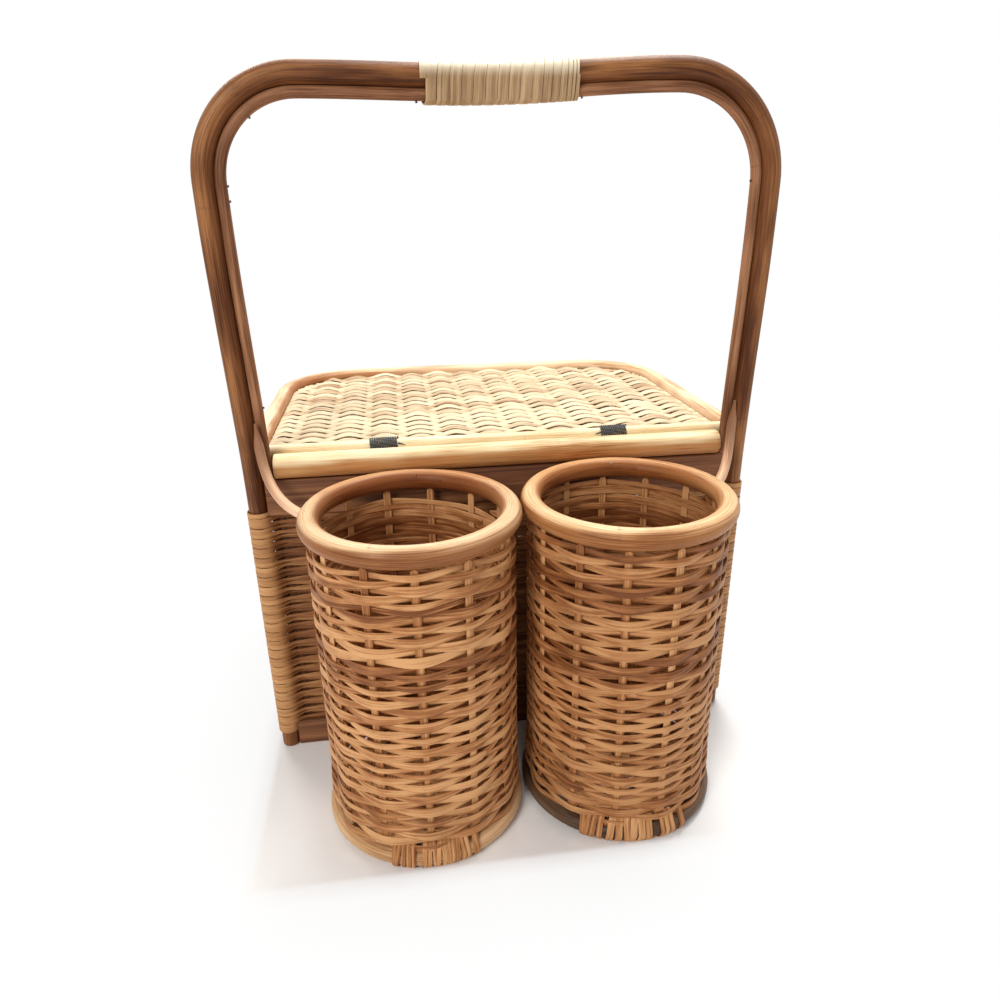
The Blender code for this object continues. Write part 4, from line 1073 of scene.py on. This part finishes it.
for number, (label, centre) in enumerate(CENTRES.items()):
    rim, base = RING_TONES[label]
    ring(f"rim_{label}", f"holder_rim_{label}", centre, 28, rim, "cane_peach", 1 + number)
    ring(f"base_ring_{label}", f"holder_base_ring_{label}", centre, 22, base, "cane_amber", 4 + number)


# %% Bindings of the base rings
BASE_RADIUS = 59.6 * mm
BOUND_REED, BOUND_RING, BOUND_DROP = 2.6 * mm, 6.15 * mm, 8.2 * mm
BOUND_HEIGHT = 14.75 * mm
STRIP_THICKNESS = 0.75 * mm
BINDINGS = {
    "left": (((-23.0, -9.0), 5), ((-5.2, 22.6), 10), ((25.1, 29.1), 1)),
    "right": (((-36.7, -22.1), 4), ((-19.3, 7.8), 6), ((12.2, 22.0), 3), ((25.9, 30.1), 1)),
}


def binding(centre, span, turns, seed):
    """A flat cane wound round base ring and lowest row: an upright belt, moved along the ring."""
    turn = np.linspace(0, turns, turns * 24 + 1)
    place = (span[0] + (span[1] - span[0]) * turn / turns) * mm
    pitch = (span[1] - span[0]) * mm / turns
    offset, outward = belt(BOUND_REED, BOUND_RING, BOUND_DROP, turn + 0.75)
    place = place + 0.14 * sway(turn, 0.6, seed + 40) * offset[:, 1]
    angle = -math.pi / 2 + place / BASE_RADIUS
    path = around(angle, BASE_RADIUS + offset[:, 0], BOUND_HEIGHT + offset[:, 1]) + centre
    wide = pitch * (0.96 + 0.06 * sway(turn, 0.7, seed))
    return flat_reed(path, wide, STRIP_THICKNESS, around(angle, outward[:, 0], outward[:, 1]))


for label, centre in CENTRES.items():
    grids = [binding(centre, span, turns, 3 * turns) for span, turns in BINDINGS[label]]
    piece(f"binding_{label}", grids, weave_tan, [f"base_splice_{label}"])

# %% [markdown]
# ## The canes and slats of the box
#
# The straight canes take line and radius from their solids' boxes. The hoop on the box, the
# lid's frame and the slats below share one plan: back along the left side, round a corner,
# across the back and forwards again. A slat is the same sweep with a flat section.

# %% Canes of the box
HOOP_FRONT = -49.35 * mm
BAND_FRONT = -47.05 * mm
BACK_POST_RADIUS = 5.5 * mm
SLAT_THICKNESS = 5 * mm
rail_line, rail_radius = straight("front_rail")
cane("rail", rail_line, rail_radius, cane_pale, "front_rail", seed=11, sides=28)
inner_line, inner_radius = straight("inner_front_rail")
cane("hinge_rail", inner_line, inner_radius, cane_peach, "inner_front_rail", seed=12)


def hoop_plan(front, height=0.0):
    """Left side from front to back, quarter circle, back, quarter circle, right side."""
    reach, depth = LEG_FOOT - CORNER_RADIUS, BACK_Y - CORNER_RADIUS
    turn = np.linspace(0, math.pi / 2, 40)
    side = np.linspace(front, depth, 30, endpoint=False)
    corner_x, corner_y = reach + CORNER_RADIUS * np.cos(turn), depth + CORNER_RADIUS * np.sin(turn)
    x = np.concatenate((np.full(30, LEG_FOOT), corner_x, np.linspace(reach, 0, 30)[1:]))
    y = np.concatenate((side, corner_y, np.full(29, BACK_Y)))
    right = np.stack((x, y, np.full_like(x, height)), -1)
    left = right * np.array([-1, 1, 1])
    return np.concatenate((left, right[-2::-1]))


low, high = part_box("box_top_hoop")
hoop = hoop_plan(HOOP_FRONT, (low.z + high.z) / 2)
cane("hoop", hoop, LEG_RADIUS, cane_peach, "box_top_hoop", seed=13, sides=24)
for side, label in SIDES:
    low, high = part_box(f"back_post_{label}")
    x, y = (low.x + high.x) / 2, (low.y + high.y) / 2
    path = np.array([(x, y, low.z), (x, y, high.z)])
    post = f"back_post_{label}"
    cane(f"post_{label}", path, BACK_POST_RADIUS, cane_straw, post, FRONT, seed=14 + side)


# %% Slats
def slat_section(thick, tall, corner=0.9 * mm):
    """Oblong with rounded corners: four quarter circles of four points each."""
    inner = np.array([thick / 2 - corner, tall / 2 - corner])
    quarter = inner + around(np.linspace(0, math.pi / 2, 4), corner)[:, :2]
    back = quarter[::-1]
    return np.concatenate((quarter, back * (-1, 1), quarter * (-1, -1), back * (1, -1)))


def slat(name, node, path):
    """A flat section as tall as the solid, carried along the path at the solid's height."""
    low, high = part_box(node)
    points, run, narrow = spaced(path + UP * (low.z + high.z) / 2, 5 * mm, 0.6 * mm)
    section = slat_section(SLAT_THICKNESS, high.z - low.z) * (1 - 0.03 * (1 - narrow))[:, None, None]
    piece(name, [carry(points, section, UP)], slat_brown, [node])


for level in ("top", "bottom"):
    low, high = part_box(f"front_{level}_slat")
    y = (low.y + high.y) / 2
    reach = LEG_FOOT - LEG_RADIUS - 0.1 * mm
    slat(f"{level}_slat", f"front_{level}_slat", np.array([(-reach, y, 0), (reach, y, 0)]))
    slat(f"{level}_band", f"box_{level}_band", hoop_plan(BAND_FRONT))
print("rails, hoop and slats")

# %% [markdown]
# ## Weaving the box
#
# Each row of the box runs right round it: in front of one stake, behind the next, and at
# the two front posts outside the post, which is why the posts look wound. A row is a line
# on the plan pushed outwards by an amount that changes along it. Between the posts the
# push is a wave, and near a post it swells to the post's own radius.
#
# For the solids the front and the rest are two pieces. The rows are cut where a stake hides
# the cut, and the two ends overlap there as a weaver's do. Beside each front post the reeds
# are pinched over a bundle of stakes painted near black as painted shade, and lens-shaped
# gaps show it.

# %% Plan of the box's rows
FRONT_SPACING = 30 * mm
CORNER_RUN = 11.5 * mm
SIDE_START = LEG_FOOT + CORNER_RUN
FIRST_SIDE_STAKE = SIDE_START + 15.4 * mm
SIDE_LENGTH = BACK_Y - CORNER_RADIUS - LEG_Y
HALF_ROUND = SIDE_START + SIDE_LENGTH + CORNER_RADIUS * math.pi / 2 + LEG_FOOT - CORNER_RADIUS
SIDE_SPACING = (HALF_ROUND - FIRST_SIDE_STAKE) / 12
BUNDLE_RUN = 151 * mm
BOX_SWING = 1.05 * mm
POST_PUSH = LEG_RADIUS + 1.0 * mm


def plan(run):
    """Point and outward direction at a run measured from the front's middle, negative to the left."""
    far = np.abs(run)
    side = np.where(run < 0, -1.0, 1.0)
    turn = np.clip((far - LEG_FOOT) / CORNER_RUN, 0, 1) * math.pi / 2
    on_side = np.clip(far - SIDE_START, 0, SIDE_LENGTH)
    bend = np.clip((far - SIDE_START - SIDE_LENGTH) / CORNER_RADIUS, 0, math.pi / 2)
    on_back = np.clip(far - HALF_ROUND + LEG_FOOT - CORNER_RADIUS, 0, None)
    x = np.minimum(far, LEG_FOOT) - CORNER_RADIUS * (1 - np.cos(bend)) - on_back
    y = LEG_Y + on_side + CORNER_RADIUS * np.sin(bend)
    angle = -math.pi / 2 + turn + bend
    points = np.stack((side * x, y, np.zeros_like(x)), -1)
    return points, np.stack((side * np.cos(angle), np.sin(angle), np.zeros_like(x)), -1)


def push(run, parity):
    """Wave over the stakes, in front where parity says so, swelling to the post's radius beside it."""
    far = np.abs(run)
    front = np.cos(math.pi * far / FRONT_SPACING) * parity
    side = np.cos(math.pi * (far - FIRST_SIDE_STAKE) / SIDE_SPACING) * parity
    wave = BOX_SWING * np.where(far < LEG_FOOT + CORNER_RUN / 2, front, side)
    away = np.maximum(np.maximum(LEG_FOOT - far, far - SIDE_START), 0)
    near = 1 - ease((away - 2 * mm) / (12 * mm))
    return wave * (1 - near) + POST_PUSH * near, near


print("half way round the box:", round(HALF_ROUND / mm), "mm")

# %% Rows of the box
ROWS = 46
ROW_PITCH = (WALL_TOP - WALL_BOTTOM) / ROWS
ROW_END = 9 * mm
ROW_TUCK = 1.05 * mm
BOX_WIDTH = 3.86
PINCHED, BUNDLED = 0.42, 1.7
BOX_REED = np.array([(0.47, -0.5), (0.5, 0.1), (0.3, 0.5), (-0.3, 0.5), (-0.5, 0.1), (-0.47, -0.5)])


def box_row(number, in_front, spacing, seed):
    """One row of the front, or the rest of it, whose run counts on past the back's middle.

    The ends of the rest are tucked one reed further in. At a post a row is pinched to its
    neighbour, and beside it the row is narrow.
    """
    cut = FIRST_SIDE_STAKE + number % 2 * SIDE_SPACING
    start, stop = -cut - 3 * mm, cut + 3 * mm
    if not in_front:
        start, stop = cut - 4 * mm, 2 * HALF_ROUND - cut + 4 * mm
    parity = 1 if number % 2 else -1
    run = np.linspace(start, stop, int((stop - start) / spacing))
    signed = np.where(run > HALF_ROUND, run - 2 * HALF_ROUND, run)
    points, outward = plan(signed)
    pushed, near = push(signed, parity)
    if not in_front:
        near = 0 * near
        pushed = pushed - (1 - ease(np.minimum(run - start, stop - run) / ROW_END)) * ROW_TUCK
    points = points + outward * pushed[:, None]
    level = WALL_BOTTOM + (number + 0.5) * ROW_PITCH - 0.2 * mm * parity * near ** 4
    points[:, 2] = level + 0.16 * mm * sway(run, 37 * mm, seed + number) * (1 - near)
    beside = np.exp(-((np.abs(signed) - BUNDLE_RUN) / (5.5 * mm)) ** 2)
    wide = (BOX_WIDTH - PINCHED * near ** 4 - BUNDLED * beside) * mm
    wide = wide * (1 + 0.04 * sway(run, 90 * mm, seed + 2 * number))
    tilt = 0.08 * sway(run, 55 * mm, seed + 3 * number)
    return flat_reed(points, wide, BOX_THICKNESS, outward + tilt[:, None] * UP, BOX_REED)


front_rows = [box_row(number, True, 3.4 * mm, 40) for number in range(ROWS)]
piece("front_weave", front_rows, weave_brown, ["front_woven_panel"])
wall_rows = [box_row(number, False, 3.7 * mm, 140) for number in range(ROWS)]
piece("wall_weave", wall_rows, weave_brown, ["box_woven_wall"])

# %% [markdown]
# The posts get a few turns of their own above and below the rows, and the stakes of the box
# stand between its slats.

# %% Turns round the posts and stakes of the box
POST_TURNS = np.array([14.9, 18.5, 188.4]) * mm
POST_REED = 3.45 * mm
BOX_STAKE_WIDTH, BOX_STAKE_THICKNESS = 4.4 * mm, 1.1 * mm
BUNDLE_SPACING = 4.3 * mm
BUNDLE_INSET = 1.75 * mm


def post_turns(side):
    """Level rings of reed round a post, below the first row and above the last."""
    away = around(full_turn(40), 1)
    grids = []
    for height in POST_TURNS:
        path = away * POST_PUSH + np.array([side * LEG_FOOT, LEG_Y, height])
        grids.append(flat_reed(path, POST_REED, BOX_THICKNESS, away, BOX_REED, closed=True))
    return grids


for side, label in SIDES:
    nodes = [f"post_weave_{label}"]
    piece(f"post_turns_{label}", post_turns(side), weave_brown, nodes, closed=True)


def box_stakes(runs, inset=0.0):
    """Upright reeds at the given runs of the plan, moved inwards by inset."""
    points, outward = plan(runs)
    grids = []
    for point, away in zip(points - outward * inset, outward):
        path = point + UP * np.linspace(WALL_BOTTOM, WALL_TOP, 24)[:, None]
        path += away * 0.15 * mm * np.sin(np.arange(24))[:, None]
        grids.append(flat_reed(path, BOX_STAKE_WIDTH, BOX_STAKE_THICKNESS, away))
    return grids


side_runs = FIRST_SIDE_STAKE + np.arange(13) * SIDE_SPACING
stake_runs = np.concatenate((np.arange(-4, 5) * FRONT_SPACING, side_runs, -side_runs[:-1]))
piece("box_stakes", box_stakes(stake_runs), weave_brown)
# Stakes painted near black beside each front post stand for the shade seen through the gaps.
bundle = BUNDLE_RUN + np.arange(-2, 2) * BUNDLE_SPACING
bundles = box_stakes(np.concatenate((-bundle, bundle)), BUNDLE_INSET)
piece("shaded_stakes", bundles, painted_shade_reed)

# %% [markdown]
# ## The lid
#
# The lid is a bent cane closed in front by a thin one, and filled with a close plain weave
# of pale cane. Its stakes run from front to back, its rows from side to side. The rows
# over a stake rise and the next row dips, so the field looks like columns of small humps.

# %% Lid frame and rail
LID_FRAME_RADIUS = 6.7 * mm
lid_frame_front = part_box("lid_front_rail")[1].y + FIT
hoop = hoop_plan(lid_frame_front, LID_HEIGHT)
cane("lid_hoop", hoop, LID_FRAME_RADIUS, cane_frame, "lid_frame", body="lid", seed=31, sides=26)
lid_line, lid_radius = straight("lid_front_rail")
cane("lid_rail", lid_line, lid_radius, cane_cream, "lid_front_rail", body="lid", seed=32)

# %% Lid weave
LID_SPACING = 25 * mm
LID_OFFSET = -5 * mm
LID_STAKES = LID_OFFSET + LID_SPACING * np.arange(-5, 7)
LID_PITCH = 5.95 * mm
LID_ROWS = 36
LID_FRONT = -32.3 * mm
LID_RISE = 2.5 * mm
LID_DIP = 1.25 * mm
LID_ROD = LID_FRAME_RADIUS + 0.2 * mm
LID_REED_THICKNESS = 1.25 * mm
LID_STAKE_WIDTH, LID_STAKE_THICKNESS = 4.6 * mm, 1.2 * mm
LASHING_X = 80 * mm
LASHING_WIDTH = 18.6 * mm
LID_REED = np.array([
    (0.47, -0.55), (0.5, -0.32), (0.44, 0.02), (0.26, 0.36), (0, 0.5),
    (-0.26, 0.36), (-0.44, 0.02), (-0.5, -0.32), (-0.47, -0.55),
])


def lid_reach(y):
    """Half width of the field at a depth: the frame's inner side, round at the back corners."""
    radius = CORNER_RADIUS - LID_ROD
    past = np.clip((y - BACK_Y + CORNER_RADIUS) / radius, 0, 1)
    return LEG_FOOT - CORNER_RADIUS + radius * np.sqrt(1 - past ** 2)


def lid_rows(seed):
    """Row j: x from side to side, y at its pitch, height a wave over the stakes."""
    grids = []
    for number in range(LID_ROWS):
        y = LID_FRONT + number * LID_PITCH
        reach = float(lid_reach(y + 2.4 * mm)) - 0.2 * mm
        x = np.linspace(-reach, reach, int(reach / (1.35 * mm)))
        share = (x - LID_OFFSET) / LID_SPACING
        phase = math.pi * (share + number)
        wave = np.cos(phase) + 0.07 * np.cos(3 * phase)
        over = np.clip(wave, 0, None)
        rise = LID_RISE * over * (1 + 0.2 * sway(x, 24 * mm, seed + 7 * number))
        rise += LID_DIP * np.clip(wave, None, 0)
        edge = ease((reach - np.abs(x)) / (9 * mm))
        wander = 0.5 * mm * sway(x, 30 * mm, seed + number) + 0.3 * mm * np.cos(2 * math.pi * share)
        path = np.stack((x, y + wander, LID_HEIGHT + rise * edge), -1)
        wide = (6.3 + 2.7 * np.minimum(over, 1)) * mm * (1 + 0.08 * sway(x, 50 * mm, seed + 3 * number))
        lean = 0.05 * sway(x, 40 * mm, seed + 5 * number)
        away = UP + lean[:, None] * BACK
        grids.append(flat_reed(path, wide, LID_REED_THICKNESS, away, LID_REED))
    return grids


def lid_stakes():
    """Flat stakes from the front rail, or short of a lashing, to the back of the frame."""
    grids = []
    for x in LID_STAKES:
        at_lashing = abs(abs(x) - LASHING_X) < 0.7 * LASHING_WIDTH
        front = HINGE_Y + (6.4 if at_lashing else 4.5) * mm
        past = max(abs(x) - LEG_FOOT + CORNER_RADIUS, 0)
        back = BACK_Y - CORNER_RADIUS + math.sqrt((CORNER_RADIUS - LID_ROD) ** 2 - past ** 2) - 0.4 * mm
        y = np.linspace(front, back, 60)
        wander = 0.5 * mm * sway(y, 50 * mm, int(x / mm) + 300)
        path = np.stack((x + wander, y, np.full_like(y, LID_HEIGHT)), -1)
        grids.append(flat_reed(path, LID_STAKE_WIDTH, LID_STAKE_THICKNESS, UP))
    return grids


piece("lid_weave_rows", lid_rows(60), weave_cream, ["lid_weave"], body="lid")
piece("lid_weave_stakes", lid_stakes(), weave_cream, body="lid")

# %% [markdown]
# ## The hinge cords
#
# Two lashings of waxed cord hold the lid. Each goes about a dozen times round the lid's
# front rail and the rail of the box below it, and the lid's rail turns inside them. The end
# is pulled into the crack in front.

# %% Hinge cords
CORD = 0.62 * mm
CORD_CORE = 4.35 * mm
CORD_TURNS = 12


def lashing(middle):
    """Round cord along the belt round both rails, moving along them by one cord a turn."""
    turn = np.linspace(0, CORD_TURNS, CORD_TURNS * 22 + 1)
    run = middle + (turn / CORD_TURNS - 0.5) * LASHING_WIDTH
    reach = CORD_CORE + CORD
    offset, outward = belt(reach, reach, LID_HEIGHT - inner_line[0, 2], turn + 0.25)
    path = np.stack((run, HINGE_Y + offset[:, 0], LID_HEIGHT + offset[:, 1]), -1)
    away = np.stack((np.zeros(len(turn)), outward[:, 0], outward[:, 1]), -1)
    return carry(path, round_section(CORD, 8), away)


def tail(middle, side):
    """The cord's end: lies along the crack and thins to a point."""
    share = np.linspace(0, 1, 12)
    x = middle + side * (9.2 + 5.2 * share) * mm
    path = np.stack((x, HINGE_Y - (4.6 + 0.45 * share) * mm, LID_HEIGHT + (2.3 - 1.6 * share) * mm), -1)
    return carry(path, round_section(1, 8) * (CORD * (1.02 - 0.9 * share ** 2))[:, None, None], UP)


for side, label in SIDES:
    grids = [lashing(side * LASHING_X), tail(side * LASHING_X, -side)]
    piece(f"lashing_{label}", grids, cord_black, [f"hinge_lashing_{label}"])

# %% [markdown]
# ## The floor board's finish
#
# The board in the box keeps its solid, whose mesh has no grain map. Its finish reads the
# object's own coordinates instead.

# %% Board finish
def board_finish():
    """Boards along X: fine grain, few waves along X and many along Y."""
    finish = Finish("board_flat", Specular_IOR_Level=0.35)
    finish.run, finish.girth = finish.axis(0), finish.axis(1)
    fibre = finish.noise(14, 420, 4, 0.6)
    wide = finish.noise(3, 60, 2, 0.5, 4.4)
    stops = [(0.34, (0.26, 0.14, 0.065)), (0.5, (0.40, 0.24, 0.12)), (0.66, (0.5, 0.32, 0.18))]
    colour = finish.ramp(fibre * 0.5 + wide * 0.5, stops)
    return finish.wear(colour, 0.6 + fibre * 0.2, fibre, 0.3 * mm)


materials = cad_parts["box_floor"].data.materials
materials.clear()
materials.append(board_finish())
print("board finished")

# %% [markdown]
# ## Floor, background and lamps
#
# A plain white floor and white surroundings, as in a catalogue. The camera, mirrors and
# glass see pure white, while the basket itself is lit by a softer grey sky and four broad
# lamps: one above, one from the left in front, one behind and a weak one from the right.

# %% Floor and surroundings
FLOOR_DROP = 0.4 * mm
FLOOR_REACH = 30
FOOTPRINT = (172 * mm, 188 * mm, 0)
GLOW = ((0, 0), (0.004, 0.5), (0.015, 0.86), (0.06, 0.94), (0.20, 0.985), (1, 1))


def white_floor():
    """White paint mixed with light that only the camera sees, more of it away from the footprint."""
    finish = Finish("white_floor", Base_Color=(0.93, 0.93, 0.93, 1), Roughness=0.9)
    place = finish.place()
    for operation, value in (("ABSOLUTE", (0, 0, 0)), ("SUBTRACT", FOOTPRINT), ("MAXIMUM", (0, 0, 0))):
        place = finish.node("ShaderNodeVectorMath", {"operation": operation}, {0: place, 1: value})
    distance = finish.node("ShaderNodeVectorMath", {"operation": "LENGTH"}, {0: place}, "Value")
    far = finish.ramp(distance, [(metres, (level, level, level)) for metres, level in GLOW])
    share = far * finish.node("ShaderNodeLightPath", {}, {}, "Is Camera Ray")
    glow = finish.node("ShaderNodeEmission", {}, {"Strength": 1.0}, "Emission")
    paint = Wire(finish, finish.shader.outputs[0])
    mix = finish.node("ShaderNodeMixShader", {}, {0: share, 1: paint, 2: glow})
    finish.links.new(mix.socket, finish.nodes["Material Output"].inputs["Surface"])
    return finish.material


corners = np.array([(-1, -1, 0), (1, -1, 0), (1, 1, 0), (-1, 1, 0)]) * FLOOR_REACH
floor_mesh = bpy.data.meshes.new("floor")
floor_mesh.from_pydata(corners.tolist(), [], [(0, 1, 2, 3)])
floor_mesh.materials.append(white_floor())
floor = placed("floor", floor_mesh)
floor.location.z = -FLOOR_DROP
floor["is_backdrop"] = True

world = bpy.data.worlds.new("studio")
bpy.context.scene.world = world
world.use_nodes = True
sky = Tree(world.node_tree)
camera_ray = sky.node("ShaderNodeLightPath", {}, {}, "Is Camera Ray")
either = camera_ray.math("MAXIMUM", camera_ray, camera_ray.beside("Is Glossy Ray"))
seen = either.math("MAXIMUM", either, camera_ray.beside("Is Transmission Ray"))
strength = sky.node("ShaderNodeMapRange", {}, {"Value": seen, "To Min": 0.3, "To Max": 1.0}, "Result")
sky.nodes["Background"].inputs["Color"].default_value = (1, 1, 1, 1)
sky.links.new(strength.socket, sky.nodes["Background"].inputs["Strength"])
print("white floor and surroundings")

# %% Lamps
def lamp(name, place, aim, width, power, colour=(1, 1, 1)):
    """A square lamp at a place, turned to look at its aim."""
    light = bpy.data.lights.new(name, "AREA")
    light.size = width
    light.energy = power
    light.color = colour
    back = unit(np.array(place, float) - np.array(aim, float))
    right = unit(np.cross(UP, back))
    placed(name, light).matrix_world = placement(right, np.cross(back, right), back, place)


lamp("above", (0.3, 0.3, 1.5), (0, 0, 0.2), 0.7, 24, (1, 0.985, 0.96))
lamp("front_left", (-0.9, -1.3, 1.1), (0, -0.05, 0.15), 0.6, 17, (1, 0.975, 0.94))
lamp("behind_left", (-0.55, 0.75, 1.2), (-0.1, 0, 0.4), 0.35, 5, (1, 0.98, 0.94))
lamp("front_right", (1.3, -0.9, 0.8), (0, 0, 0.2), 0.8, 1.5)
bpy.context.scene.view_settings.view_transform = "Standard"
print("four lamps")

# %% Sizes and finish
low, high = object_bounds()
print("dressed, mm:", [round(size / mm, 1) for size in high - low])
